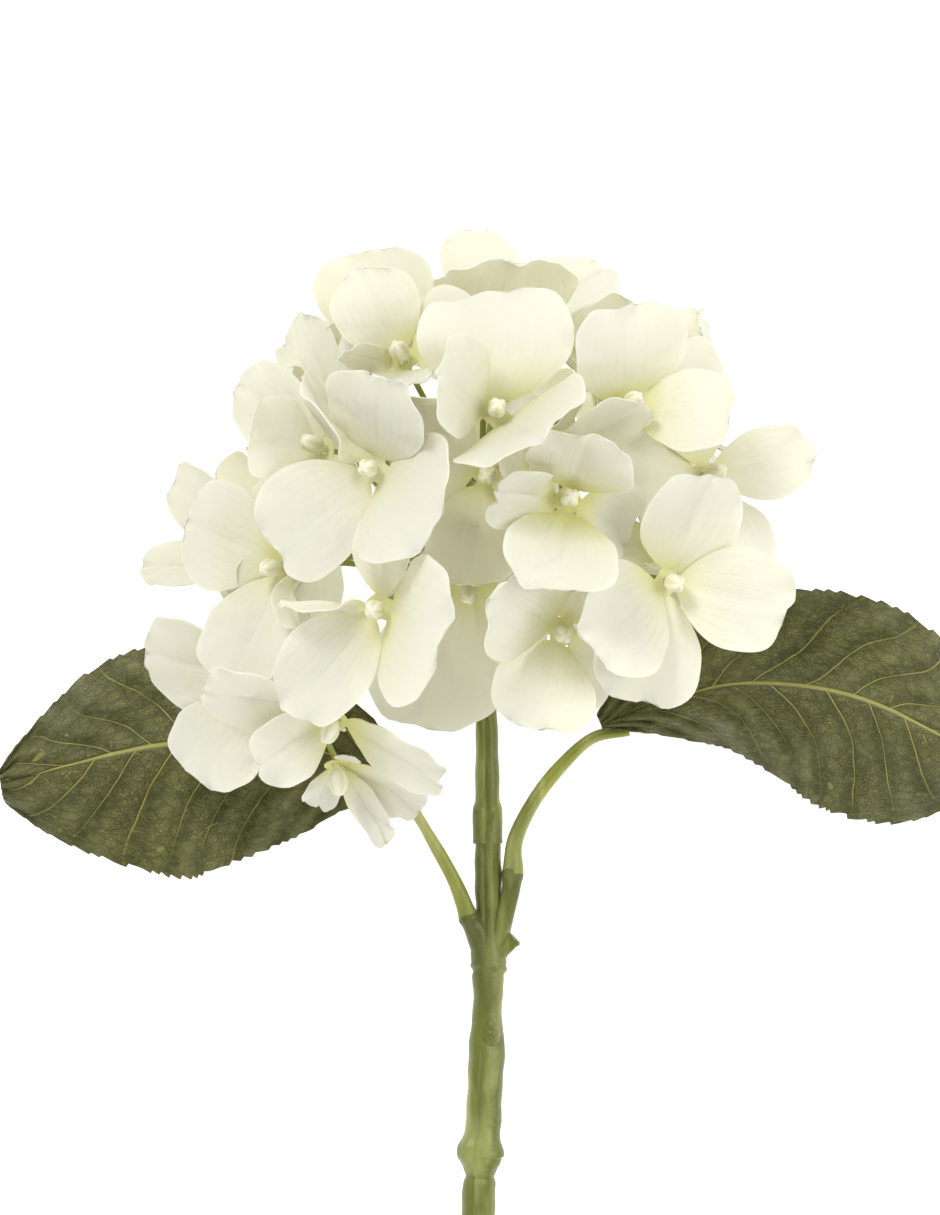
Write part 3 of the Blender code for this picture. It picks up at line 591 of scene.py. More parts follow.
def rod_tree(route: Sequence[Sequence[float]], radii: Sequence[float]) -> BVHTree:
    """A search tree of a square rod along a route."""
    points, faces = [], []
    for k, (a, b) in enumerate(zip(route[:-1], route[1:])):
        a, b = Vector(a), Vector(b)
        way = (b - a).normalized()
        side = way.orthogonal().normalized()
        other = way.cross(side)
        first = len(points)
        for end, radius in ((a, radii[k]), (b, radii[k + 1])):
            for x, y in ((1, 1), (-1, 1), (-1, -1), (1, -1)):
                points.append(end + (side * x + other * y) * radius)
        for m in range(4):
            n = (m + 1) % 4
            faces += [(first + m, first + n, first + 4 + n), (first + m, first + 4 + n, first + 4 + m)]
    return BVHTree.FromPolygons(points, faces)


@dataclass
class BackRings:
    """The rings of florets round the hidden side of the head.

    Each ring has its tilt away from the open face, its share of the radii, the direction of its first floret,
    the step to the next and their number.
    """

    centre: tuple[float, float, float] = (-3.0, 16.0, 2.0)
    radii: tuple[float, float, float] = (52.0, 48.0, 45.0)
    rings: tuple[tuple[float, float, float, float, int], ...] = (
        (-14.0, 0.78, -20.0, 52.0, 5), (-44.0, 1.14, -30.0, 55.0, 5), (-76.0, 0.72, 95.0, 170.0, 2))

    def florets(self) -> list[Floret]:
        """The florets of all the rings."""
        found = []
        for rise, size, first, step, count in self.rings:
            for k in range(count):
                around = first + step * k
                flat = math.cos(math.radians(rise))
                way = np.array((
                    flat * math.cos(math.radians(around)),
                    flat * math.sin(math.radians(around)),
                    math.sin(math.radians(rise)),
                ))
                turn = math.degrees(math.atan2(way[0], way[2]))
                lift = math.degrees(math.asin(way[1]))
                place = np.array(self.centre) + way * np.array(self.radii) * size
                found.append(Floret(place, turn, lift, 17 + 31 * k, 30 + 4 * (k % 3)))
        return found


@dataclass
class Settler:
    """Lays each sepal the first way in which it touches nothing that is already placed.

    Florets come in order of importance, so the ones in view keep the way they were drawn. A sepal that has no
    room at all, deep between others, is a stub on the ring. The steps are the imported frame's own, so that
    every sepal lies where the frame has it.
    """

    form: FloretForm = field(default_factory=FloretForm)
    cup_steps: tuple[float, ...] = (0, 8, -8, 16, -16, 26, 36, -26, 48, -40)
    turn_steps: tuple[float, ...] = (0, 10, -10, 18, -18)
    length_steps: tuple[float, ...] = (1.0, 0.88, 0.76, 0.64, 0.5, 0.36, 0.24)
    shares: tuple[float, ...] = (0.06, 0.22, 0.5, 0.8, 0.97)
    sides: tuple[float, ...] = (-1.0, 0.0, 1.0)
    clearance: float = CLEARANCE
    shorter_cost: float = 120.0
    turned_cost: float = 1.2
    near_reach: float = 2.1
    stub: Point = (1.0, 3.0, 10.0)

    def settle(self, florets: Sequence[Floret], obstacles: Sequence[BVHTree]) -> None:
        """Fill in each floret's laid sepals.

        Args:
            florets: in order of importance.
            obstacles: search trees of what the sepals keep clear of.
        """
        placed = [(Vector((0, 0, 0)), 1e6, tree) for tree in obstacles]
        options = [(length, cup, turn) for length in self.length_steps for cup in self.cup_steps
                   for turn in self.turn_steps]
        options.sort(key=lambda o: (1 - o[0]) * self.shorter_cost + abs(o[1]) + abs(o[2]) * self.turned_cost)
        half = self.form.sheet / 2 + self.clearance
        share, side = np.meshgrid(self.shares, self.sides, indexing="ij")
        for one in florets:
            for k in range(4):
                best = None
                for length, cup, turn in options:
                    sepal = one.sepal(self.form, k)
                    sepal.length *= length
                    sepal.width *= length
                    sepal.cup += cup
                    sepal.around += turn
                    grid = one.points(self.form, sepal, share, side)
                    tree = thick_tree(grid, half)
                    middle = Vector(grid[2, 1])
                    near = [t for centre, reach, t in placed if (centre - middle).length < reach]
                    if not any(tree.overlap(other) for other in near):
                        best = (sepal, middle, tree)
                        break
                if best is None:
                    sepal = one.sepal(self.form, k)
                    sepal.length, sepal.width, sepal.cup = self.stub
                    one.laid.append(sepal)
                    continue
                one.laid.append(best[0])
                placed.append((best[1], self.near_reach * self.form.sepal_length, best[2]))


@dataclass
class FloretSheet:
    """The finished cloth sheet of one floret: four frilled sepals and the ring round its peg."""

    form: FineForm = field(default_factory=FineForm)
    columns: int = 18
    rows: int = 26
    ring_rows: int = 2
    thinness: float = 0.8
    widest_step: float = math.radians(25)
    whole_gap: float = 1.75 * math.pi

    def filled(self, one: Floret, base: np.ndarray) -> np.ndarray:
        """The points round the ring, with more put in where two sepals are far apart."""
        right, up, facing = one.axes()
        found = []
        for here, after in zip(base, np.roll(base, -1, axis=0)):
            start, end = (math.atan2((p - one.centre) @ up, (p - one.centre) @ right) for p in (here, after))
            gap = (end - start) % FULL_TURN
            steps = max(1, math.ceil(gap / self.widest_step)) if gap < self.whole_gap else 1
            found.append(here)
            for step in range(1, steps):
                angle = start + gap * step / steps
                spoke = right * math.cos(angle) + up * math.sin(angle)
                level = (here - one.centre) @ facing * (1 - step / steps)
                level += (after - one.centre) @ facing * step / steps
                found.append(one.centre + spoke * self.form.hub_radius + level * facing)
        return np.array(found)

    def build(self, name: str, one: Floret) -> bpy.types.Object:
        """The closed sheet.

        Args:
            name: the piece's name.
            one: a settled floret.

        Returns:
            The piece.
        """
        facing = one.axes()[2]
        grids = []
        for k, sepal in enumerate(one.laid):
            def shape(share: np.ndarray, side: np.ndarray) -> np.ndarray:
                return one.points(self.form, sepal, 0.5 - 0.5 * np.cos(math.pi * share), side)
            grids.append(formed_grid(f"{name}_{k}", self.columns, self.rows, shape))
        bases = []
        for sepal in one.laid:
            side = np.linspace(-1, 1, self.columns + 1)
            bases.append(one.points(self.form, sepal, np.zeros_like(side), side))
        base = self.filled(one, np.concatenate(bases))
        spokes = base - one.centre
        level = spokes @ facing
        spokes = spokes - level[:, None] * facing
        spokes /= np.linalg.norm(spokes, axis=1, keepdims=True)
        inner = one.centre + spokes * self.form.hole_radius + 0.5 * level[:, None] * facing
        count = len(base)

        def ring(share: np.ndarray, side: np.ndarray) -> np.ndarray:
            at = np.rint((side + 1) / 2 * count).astype(int) % count
            return inner[at] * (1 - share)[:, None] + base[at] * share[:, None]

        hub = formed_grid(f"{name}_hub", count, self.ring_rows, ring)
        for loop in hub.data.uv_layers[0].data:
            loop.uv = (0.5, 0.0)
        piece = joined(name, [*grids, hub])
        weld(piece, 0.02, cap=False)
        thicken(piece, self.form.sheet * self.thinness)
        return piece


# ---------------------------------------------------------------------------------------------------------
# Branches


@dataclass
class Branchwork:
    """The moulded branches inside the head: a trunk each, and a bead-ended peg for each floret."""

    form: FloretForm = field(default_factory=FloretForm)
    trunk_start: float = 5.2
    trunk_end: float = 24.0
    trunk_radius: float = 1.3
    knuckle_radius: float = 1.9
    bead_stretch: float = 1.18
    clearance: float = CLEARANCE
    neck_share: float = 0.25
    ways: dict[str, Point] = field(default_factory=lambda: {
        "branch_front_left": (-0.5, 0.05, 0.86),
        "branch_front_right": (0.5, 0.05, 0.86),
        "branch_front_top": (0.0, 0.65, 0.76),
        "branch_top": (0.0, 0.98, -0.1),
        "branch_left": (-0.95, 0.25, -0.1),
        "branch_right": (0.93, 0.35, 0.0),
        "branch_low_left": (-0.75, -0.6, 0.3),
        "branch_back_left": (-0.5, 0.2, -0.84),
        "branch_back_right": (0.5, 0.2, -0.84),
    })

    def way(self, name: str) -> Vector:
        """The direction of a trunk."""
        return Vector(self.ways[name]).normalized()

    def nearest(self, one: Floret) -> str:
        """The trunk whose direction is closest to the floret's."""
        toward = Vector(one.centre).normalized()
        return max(self.ways, key=lambda name: toward.dot(self.way(name)))

    def peg_route(self, one: Floret) -> list[Vector]:
        """From the end of the trunk to the floret, arriving square to its sheet."""
        facing = Vector(one.axes()[2])
        place = Vector(one.centre)
        start = self.way(self.nearest(one)) * (self.trunk_end - 0.4)
        reach = min(14.0, 0.45 * (place - start).length)
        return [start, place - facing * reach, place + facing * (self.form.bead_height - 1.0)]

    def obstacles(self, florets: Sequence[Floret]) -> list[BVHTree]:
        """Search trees of pegs, rings, beads and trunks."""
        found = []
        for one in florets:
            found.append(rod_tree(self.peg_route(one), [self.form.peg_radius + self.clearance] * 3))
            facing, place = Vector(one.axes()[2]), Vector(one.centre)
            found.append(rod_tree([place - facing * 0.6, place + facing], [self.form.hub_radius] * 2))
            centre = place + facing * self.form.bead_height
            half = self.form.bead_half_length
            ends = [centre - facing * half * 0.8, centre + facing * half]
            found.append(rod_tree(ends, [self.form.bead_radius] * 2))
        for name in self.ways:
            ends = [self.way(name) * self.trunk_start, self.way(name) * self.trunk_end]
            found.append(rod_tree(ends, [self.trunk_radius + self.clearance] * 2))
        return found

    def bead(self, name: str, one: Floret) -> bpy.types.Object:
        """The long round end of a peg, closed like a bud by four shallow grooves, on its flared neck."""
        right, up, facing = one.axes()
        form = self.form

        def shape(share: np.ndarray, side: np.ndarray) -> np.ndarray:
            angle = side * math.pi
            neck = share < self.neck_share
            bud = np.clip((share - self.neck_share) / (1 - self.neck_share), 0, 1)
            polar = bud * math.pi
            half = form.bead_half_length * self.bead_stretch
            round_end = np.maximum(form.bead_radius * 1.12 * np.sin(polar) ** 0.8, 0.9 * (bud < 0.12))
            groove = 1 - 0.24 * np.abs(np.cos(2 * angle + 0.4)) ** 5 * np.clip(bud * 2 - 0.3, 0, 1)
            radius = np.where(neck, 0.8 + 0.25 * share, round_end) * groove
            rising = share / self.neck_share * (form.bead_height - form.bead_half_length)
            height = np.where(neck, rising, form.bead_height + 0.5 - half * np.cos(polar))
            across = (radius * np.cos(angle))[:, None] * right + (radius * np.sin(angle))[:, None] * up
            return one.centre + across + height[:, None] * facing

        piece = formed_grid(name, 20, 22, shape)
        weld(piece)
        smooth(piece)
        return piece

    def build(self, name: str, florets: Sequence[Floret], green: bpy.types.Material,
              cream: bpy.types.Material) -> None:
        """One branch: its green trunk and pegs, which stand for the frame's node, and its cream beads."""
        way = np.array(self.way(name))
        radius = self.form.peg_radius
        rods = [Tube(f"{name}_trunk", (way * self.trunk_start, way * (self.trunk_end + 1)),
                     (self.trunk_radius, self.trunk_radius * 0.95, self.knuckle_radius * 0.9), 12, 14).build()]
        for k, one in enumerate(florets):
            route = self.peg_route(one)[:2] + [Vector(one.centre) + Vector(one.axes()[2]) * 0.4]
            rods.append(Tube(f"{name}_peg_{k}", route, (radius * 1.4, radius, radius * 0.95), 10, 18).build())
        dress(joined(f"{name}_pegs", rods), green, Slot.PETIOLE, name)
        beads = [self.bead(f"{name}_bead_{k}", one) for k, one in enumerate(florets)]
        dress(joined(f"{name}_beads", beads), cream, Slot.BRANCH)


# ---------------------------------------------------------------------------------------------------------
# Leaves


VEINS = 8
BLADE_START = 0.02
BLADE_PART = 0.96


@dataclass
class Leaf:
    """One blade: its midrib's route, the half width on each side and how each half falls away from it.

    An outline says where a half is broadest (above 0.7 beyond the middle) and how blunt its ends are. ridge
    is how far the lower half swells beside the midrib, in millimetres.
    """

    name: str
    midrib: Sequence[Sequence[float]]
    upper: float
    lower: float
    upper_fall: float
    lower_fall: float
    upper_outline: tuple[float, float]
    lower_outline: tuple[float, float]
    ridge: float = 0.0
    sheet: float = 0.5
    columns: int = 90
    rows: int = 130
    teeth: int = 27
    tooth_depth: float = 0.04
    veins: int = VEINS
    pucker: float = 1.5
    gap: float = 0.3

    def half(self, share: np.ndarray, side: np.ndarray) -> np.ndarray:
        """Half width along the blade, without its teeth: round base, broad middle, drawn-out tip."""
        upper, lower = self.upper_outline, self.lower_outline
        broad = np.where(side > 0, upper[0], lower[0])
        blunt = np.where(side > 0, upper[1], lower[1])
        width = np.where(side > 0, self.upper, self.lower)
        return width * np.sin(math.pi * np.clip(share, 0, 1) ** broad) ** blunt

    def spine(self, share: np.ndarray) -> tuple[np.ndarray, np.ndarray]:
        """The midrib's points and directions at these shares of its length."""
        route = smooth_route(self.midrib, MIDRIB_STEPS)
        marks = marks_of(route)
        return along(route, marks, share), heading(route, marks, share, 0.03)

    def points(self, share: np.ndarray, side: np.ndarray) -> np.ndarray:
        """Growing-frame points of the blade, with toothed margins, a sunk midrib and puckers between veins."""
        share = BLADE_START + BLADE_PART * share
        at, ahead = self.spine(share)
        beside = np.cross(OUTWARD, ahead)
        beside /= np.linalg.norm(beside, axis=-1, keepdims=True)
        beside *= np.sign(beside[..., 1:2])
        half = self.half(share, side)
        fall = np.radians(np.where(side > 0, self.upper_fall, self.lower_fall))
        away = np.clip(np.abs(side), 0, 1)
        tooth = (share * self.teeth + 0.5 * np.sin(share * 21) + 0.3 * np.sin(share * 47)) % 1.0
        reach = 1 - self.tooth_depth * tooth * away ** 6 + 0.02 * np.sin(share * 17 + side * 2) * away ** 2
        vein = self.vein_share(share, away, side) * self.veins
        swell = -0.5 * self.pucker * np.sin(math.pi * away) ** 0.7 * np.cos(FULL_TURN * vein)
        margin = 1.1 * away ** 3 * np.sin(FULL_TURN * (share * 3.3 + 0.2 * np.sign(side)))
        slow = 1.5 * np.sin(math.pi * away) * np.sin(9.0 * share + 2.2 * side)
        crinkle = np.sin(38 * share + 7 * side) * np.sin(15 * side - 11 * share)
        crinkle = 1.6 * crinkle * away * (1.1 - away)
        ridge = self.ridge * np.where(side < 0, 1.0, -0.6) * arch(away, 0.6) * arch(share)
        sunk = -0.8 * bell(side, 0.0, 0.04)
        across = beside * (side * half * reach * np.cos(fall))[..., None]
        lift = -away * half * reach * np.sin(fall) + swell + margin + slow + crinkle + ridge + sunk
        return at + across + np.array(OUTWARD) * lift[..., None]

    @staticmethod
    def vein_share(share: np.ndarray, away: np.ndarray, side: np.ndarray) -> np.ndarray:
        """How far along the row of side veins a point lies.

        The veins leave the midrib on a slant and curve ahead, and those of the two halves don't meet.
        """
        slant = share * 1.15 - 0.36 * away + 0.12 * away ** 2
        return slant + 0.012 * np.sin(19 * share + 5 * side) + np.where(side > 0, 0.05, 0.0)

    def tree(self) -> BVHTree:
        """A search tree of the blade as the frame has it, in few steps."""
        shares = BLADE_START + BLADE_PART * np.linspace(0, 1, 9)
        route = smooth_route(self.midrib, MIDRIB_STEPS)
        rib = along(route, marks_of(route), shares)
        ahead = np.gradient(rib, axis=0)
        ahead /= np.linalg.norm(ahead, axis=1, keepdims=True)
        grid = []
        for at, way, share in zip(rib, ahead, shares):
            beside = np.cross(OUTWARD, way)
            beside /= np.linalg.norm(beside)
            beside *= math.copysign(1.0, beside[1])
            row = []
            for side in (-1.0, -0.5, 0.0, 0.5, 1.0):
                half = float(self.half(share, np.array(side)))
                fall = math.radians(self.upper_fall if side > 0 else self.lower_fall)
                drop = np.array((0, 0, 1.0)) * abs(side) * half * math.sin(fall)
                row.append(at + beside * side * half * math.cos(fall) - drop)
            grid.append(row)
        return thick_tree(np.array(grid), self.gap + CLEARANCE)

    def build(self, finish: bpy.types.Material) -> bpy.types.Object:
        """The blade."""
        piece = formed_grid(self.name + "_blade", self.columns, self.rows, self.points)
        thicken(piece, self.sheet)
        return dress(piece, finish, Slot.LEAF, self.name)


# ---------------------------------------------------------------------------------------------------------
# Finishes


class Graph:
    """Adds and joins the nodes of one material or one group."""

    def __init__(self, tree: bpy.types.NodeTree) -> None:
        """Start from this node tree."""
        self.tree = tree
        self.count = 0

    def add(self, kind: str, inputs: dict[str | int, object] | None = None,
            **settings: object) -> bpy.types.Node:
        """Add a node.

        Args:
            kind: the node's type name, without its ShaderNode prefix.
            inputs: what its inputs hold, or the sockets that feed them.
            settings: the node's own settings.

        Returns:
            The node.
        """
        node = self.tree.nodes.new("ShaderNode" + kind)
        node.location = (self.count % 12 * 180, -(self.count // 12) * 260)
        self.count += 1
        for key, value in settings.items():
            setattr(node, key, value)
        for key, value in (inputs or {}).items():
            if isinstance(value, bpy.types.NodeSocket):
                self.tree.links.new(value, node.inputs[key])
            else:
                node.inputs[key].default_value = value
        return node

    def math(self, operation: str, *values: object, clamp: bool = False) -> bpy.types.NodeSocket:
        """The result of a Math node."""
        return self.add("Math", dict(enumerate(values)), operation=operation, use_clamp=clamp).outputs[0]

    def times(self, a: object, b: object, more: object = 0.0) -> bpy.types.NodeSocket:
        """Two values multiplied, and a third one added."""
        return self.math("MULTIPLY_ADD", a, b, more)

    def most(self, a: object, b: object) -> bpy.types.NodeSocket:
        """The larger of two values."""
        return self.math("MAXIMUM", a, b)

    def ramp(self, value: object, low: object, high: object) -> bpy.types.NodeSocket:
        """A smooth step from 0 at the low value to 1 at the high one."""
        inputs = {"Value": value, "From Min": low, "From Max": high}
        return self.add("MapRange", inputs, interpolation_type="SMOOTHSTEP").outputs["Result"]

    def place(self) -> bpy.types.NodeSocket:
        """The place on the object, in metres."""
        return self.add("TexCoord").outputs["Object"]

    def noise(self, scale: object, detail: float, place: bpy.types.NodeSocket) -> bpy.types.NodeSocket:
        """A cloudy noise."""
        return self.add("TexNoise", {"Scale": scale, "Detail": detail, "Vector": place}).outputs[0]

    def sheet_share(self) -> tuple[bpy.types.NodeSocket, bpy.types.NodeSocket]:
        """The shares across and along a piece that was made from a grid."""
        parts = self.add("SeparateXYZ", {0: self.add("UVMap", uv_map="UVMap").outputs[0]})
        return parts.outputs[0], parts.outputs[1]

    def cover(self, shader: bpy.types.Node, colour: bpy.types.NodeSocket, height: bpy.types.NodeSocket,
              strength: float, distance: float) -> None:
        """Give a shader its colour and a bump of this height."""
        bump = self.add("Bump", {"Height": height, "Strength": strength, "Distance": distance}).outputs[0]
        self.tree.links.new(colour, shader.inputs["Base Color"])
        self.tree.links.new(bump, shader.inputs["Normal"])

    def mix(self, factor: object, a: object, b: object) -> bpy.types.NodeSocket:
        """Two colours mixed."""
        return self.add("Mix", {0: factor, 6: a, 7: b}, data_type="RGBA").outputs[2]

    def group(self, kind: bpy.types.NodeTree, **inputs: object) -> bpy.types.Node:
        """Place a node group with its own values; an underscore in an input's name stands for a space."""
        node = self.add("Group", node_tree=kind)
        for key, value in inputs.items():
            socket = node.inputs[key.replace("_", " ")]
            if isinstance(value, bpy.types.NodeSocket):
                self.tree.links.new(value, socket)
            else:
                socket.default_value = value
        return node


class Effects:
    """Node groups that several finishes share."""

    def __init__(self) -> None:
        """Build each group once."""
        self.mottle = self.build_mottle()
        self.grain = self.build_grain()

    @staticmethod
    def new_group(name: str, inputs: dict[str, float],
                  outputs: Sequence[str]) -> tuple[Graph, bpy.types.Node, bpy.types.Node]:
        """An empty group with its sockets.

        Args:
            name: what the group is called.
            inputs: each number that it takes, with its usual value.
            outputs: the names of the numbers that it gives.

        Returns:
            Its graph, its input node and its output node.
        """
        tree = bpy.data.node_groups.new(name, "ShaderNodeTree")
        for key, value in inputs.items():
            socket = tree.interface.new_socket(name=key, in_out="INPUT", socket_type="NodeSocketFloat")
            socket.default_value = value
        for key in outputs:
            tree.interface.new_socket(name=key, in_out="OUTPUT", socket_type="NodeSocketFloat")
        return Graph(tree), tree.nodes.new("NodeGroupInput"), tree.nodes.new("NodeGroupOutput")

    def build_mottle(self) -> bpy.types.NodeTree:
        """Slow, cloudy changes over a surface, stretched along Y where Stretch is above one."""
        inputs = {"Scale": 60.0, "Stretch": 1.0, "Low": 0.35, "High": 0.65}
        graph, given, result = self.new_group("cloudy_mottle", inputs, ("Mask",))
        parts = graph.add("SeparateXYZ", {0: graph.place()})
        along_y = graph.math("DIVIDE", parts.outputs[1], given.outputs["Stretch"])
        place = graph.add("CombineXYZ", {0: parts.outputs[0], 1: along_y, 2: parts.outputs[2]}).outputs[0]
        noise = graph.noise(given.outputs["Scale"], 3.0, place)
        mask = graph.ramp(noise, given.outputs["Low"], given.outputs["High"])
        graph.tree.links.new(mask, result.inputs["Mask"])
        return graph.tree

    def build_grain(self) -> bpy.types.NodeTree:
        """A height of fine pores with slower unevenness under it."""
        graph, given, result = self.new_group("fine_grain", {"Scale": 900.0, "Slow": 120.0}, ("Height",))
        fine = graph.noise(given.outputs["Scale"], 4.0, graph.place())
        slow = graph.noise(given.outputs["Slow"], 2.0, graph.place())
        height = graph.times(slow, 1.6, fine)
        graph.tree.links.new(height, result.inputs["Height"])
        return graph.tree


def new_material(name: str, settings: dict[str, object]) -> tuple[
        bpy.types.Material, Graph, bpy.types.Node, bpy.types.Node]:
    """A node material with its Principled shader.

    Args:
        name: what the material is called.
        settings: the values of the shader's inputs that aren't left as they are.

    Returns:
        The material, its graph, the shader and the output node.
    """
    made = bpy.data.materials.new(name)
    made.use_nodes = True
    made.node_tree.nodes.clear()
    graph = Graph(made.node_tree)
    shader = graph.add("BsdfPrincipled", settings)
    result = graph.add("OutputMaterial", {"Surface": shader.outputs[0]})
    return made, graph, shader, result


@dataclass(frozen=True)
class SepalCloth:
    """Thin pressed cloth, cream white, yellow-green in the middle and deepened there as painted shade, with
    faint fanned veins and a painted highlight along the rim.
    """

    petal: Colour = (0.90, 0.895, 0.85, 1.0)
    cream: Colour = (0.88, 0.875, 0.73, 1.0)
    # the cloth's own yellow-green middle, made deeper to paint the shade at the hub
    throat_and_depth_shade: Colour = (0.80, 0.79, 0.36, 1.0)
    # rim: the painted highlight along the thin margins and the tip
    rim: Colour = (0.96, 0.96, 0.93, 1.0)
    glow: Colour = (0.92, 0.90, 0.66, 1.0)
    roughness: float = 0.6
    through: float = 0.38
    vein_count: float = 11.0
    vein_mix: float = 0.07
    rim_highlight_mix: float = 0.7

    def build(self, effects: Effects) -> bpy.types.Material:
        """The finish, as a node material."""
        made, graph, shader, result = new_material("sepal_cloth", {
            "Roughness": self.roughness, "Specular IOR Level": 0.25, "Sheen Weight": 0.12})
        across, row = graph.sheet_share()
        share = graph.times(graph.math("COSINE", graph.times(row, math.pi)), -0.5, 0.5)
        cloud = graph.group(effects.mottle, Scale=22.0, Low=0.3, High=0.7).outputs[0]
        # Painted shade: the deep yellow-green at the hub, stronger than the cloth's own, stands in for the
        # shade between the sepals; it fades through cream to white towards the tip.
        reach = graph.times(cloud, 0.24, share)
        base = graph.mix(graph.ramp(reach, 0.02, 0.42), self.throat_and_depth_shade, self.cream)
        tint = graph.mix(graph.ramp(reach, 0.12, 0.80), base, self.petal)
        bent = graph.times(graph.noise(60.0, 2.0, graph.place()), 0.10, across)
        swing = graph.math("SINE", graph.times(bent, FULL_TURN * self.vein_count))
        vein = graph.times(graph.ramp(swing, 0.55, 1.0), graph.ramp(share, 0.95, 0.30))
        veined = graph.mix(graph.times(vein, self.vein_mix), tint, self.throat_and_depth_shade)
        # Painted highlight: the margins and the tip are lightened towards the rim colour.
        away = graph.math("ABSOLUTE", graph.times(across, 2.0, -1.0))
        margin = graph.times(graph.ramp(away, 0.86, 1.0), graph.ramp(share, 0.25, 0.6))
        margin = graph.most(margin, graph.ramp(share, 0.95, 1.0))
        rim_highlighted = graph.mix(graph.times(margin, self.rim_highlight_mix), veined, self.rim)
        grain = graph.group(effects.grain, Scale=1400.0, Slow=160.0).outputs[0]
        graph.cover(shader, rim_highlighted, graph.times(vein, -0.9, graph.times(grain, 0.35)), 0.22, 0.0006)
        glow = graph.add("BsdfTranslucent", {"Color": self.glow})
        both = graph.add("MixShader", {0: self.through, 1: shader.outputs[0], 2: glow.outputs[0]})
        graph.tree.links.new(both.outputs[0], result.inputs["Surface"])
        return made


@dataclass(frozen=True)
class LeafBlade:
    """Coated cloth blade, dark olive with a sunk net of paler veins, a slight sheen, and painted shade and
    light on the panels between the veins.
    """

    blade: Colour = (0.046, 0.050, 0.008, 1.0)
    # pale: the lighter olive of the random mottle, and also the painted light on the panels between the veins
    pale: Colour = (0.235, 0.232, 0.080, 1.0)
    vein: Colour = (0.40, 0.39, 0.10, 1.0)
    roughness: float = 0.40
    vein_mix: float = 0.85

    @staticmethod
    def slant(graph: Graph, share: bpy.types.NodeSocket, side: bpy.types.NodeSocket,
              away: bpy.types.NodeSocket) -> bpy.types.NodeSocket:
        """Where a point lies along the row of side veins, as in Leaf.vein_share."""
        slant = graph.times(share, 1.15, graph.times(away, -0.36))
        slant = graph.times(graph.times(away, away), 0.12, slant)
        swing = graph.math("SINE", graph.times(share, 19.0, graph.times(side, 5.0)))
        slant = graph.times(swing, 0.012, slant)
        return graph.times(graph.math("GREATER_THAN", side, 0.0), 0.05, slant)

    def build(self, effects: Effects) -> bpy.types.Material:
        """The finish, as a node material."""
        made, graph, shader, _ = new_material("leaf_blade", {
            "Roughness": self.roughness, "Specular IOR Level": 0.26, "Sheen Weight": 0.05})
        column, row = graph.sheet_share()
        side = graph.times(column, 2.0, -1.0)
        away = graph.math("ABSOLUTE", side)
        wander = graph.noise(70.0, 2.0, graph.place())
        slant = self.slant(graph, graph.times(row, BLADE_PART, BLADE_START), side, away)
        slant = graph.times(graph.math("SUBTRACT", wander, 0.5), 0.03, slant)
        step = graph.math("FRACT", graph.times(slant, VEINS, 0.5))
        near = graph.math("ABSOLUTE", graph.math("SUBTRACT", step, 0.5))
        strength = graph.ramp(graph.times(wander, 0.8, graph.times(away, -0.35)), 0.0, 0.45)
        side_vein = graph.times(graph.ramp(near, 0.055, 0.012), strength)
        midrib = graph.ramp(away, 0.035, 0.010)
        place = graph.add("CombineXYZ", {0: side, 1: graph.times(row, 2.2)}).outputs[0]
        coarse, fine = (graph.add("TexVoronoi", {"Vector": place, "Scale": scale},
                                  feature="DISTANCE_TO_EDGE").outputs["Distance"] for scale in (11.0, 34.0))
        net = graph.most(graph.times(graph.ramp(coarse, 0.040, 0.0), 0.85),
                         graph.times(graph.ramp(fine, 0.10, 0.0), 0.35))
        veins = graph.most(graph.most(side_vein, midrib), graph.times(net, graph.ramp(wander, 0.3, 0.7)))
        cloud = graph.group(effects.mottle, Scale=90.0, Low=0.35, High=0.68).outputs[0]
        speck = graph.group(effects.mottle, Scale=420.0, Low=0.42, High=0.66).outputs[0]
        light = graph.times(speck, 0.20, graph.times(cloud, 0.14))
        # Painted shade and light: the panels between side veins each go from dark to light across them, as if
        # folded towards a lamp, and the middles of the net's cells are painted lighter than the hollows along
        # its veins.
        turn = graph.times(slant, FULL_TURN * VEINS, -0.9)
        painted_fold_shading = graph.times(graph.math("SINE", turn), 0.13, 0.19)
        painted_cell_shading = graph.times(graph.ramp(coarse, 0.04, 0.34), 0.15, painted_fold_shading)
        base = graph.mix(graph.math("ADD", light, painted_cell_shading), self.blade, self.pale)
        tint = graph.mix(graph.times(veins, self.vein_mix), base, self.vein)
        grain = graph.group(effects.grain, Scale=1500.0, Slow=220.0).outputs[0]
        graph.cover(shader, tint, graph.times(veins, -1.0, graph.times(grain, 0.35)), 0.9, 0.0018)
        return made


@dataclass(frozen=True)
class MouldedGreen:
    """Moulded stalk: a green that drifts lighter and darker in long streaks, with a fine uneven skin."""

    name: str
    green: Colour
    light: Colour
    dark: Colour
    roughness: float = 0.36
    bump: float = 0.3

    def build(self, effects: Effects) -> bpy.types.Material:
        """The finish, as a node material."""
        made, graph, shader, _ = new_material(self.name, {
            "Roughness": self.roughness, "Specular IOR Level": 0.42,
            "Sheen Weight": 0.15, "Sheen Roughness": 0.3, "Sheen Tint": self.light,
            "Subsurface Weight": 0.05, "Subsurface Scale": 0.002})
        streak = graph.group(effects.mottle, Scale=190.0, Stretch=9.0, Low=0.42, High=0.66).outputs[0]
        cloud = graph.group(effects.mottle, Scale=70.0, Stretch=2.5, Low=0.40, High=0.68).outputs[0]
        base = graph.mix(graph.times(streak, 0.75), self.green, self.light)
        tint = graph.mix(graph.times(cloud, 0.7), base, self.dark)
        grain = graph.group(effects.grain, Scale=1300.0, Slow=300.0).outputs[0]
        graph.cover(shader, tint, graph.times(streak, 0.8, grain), self.bump, 0.0005)
        return made


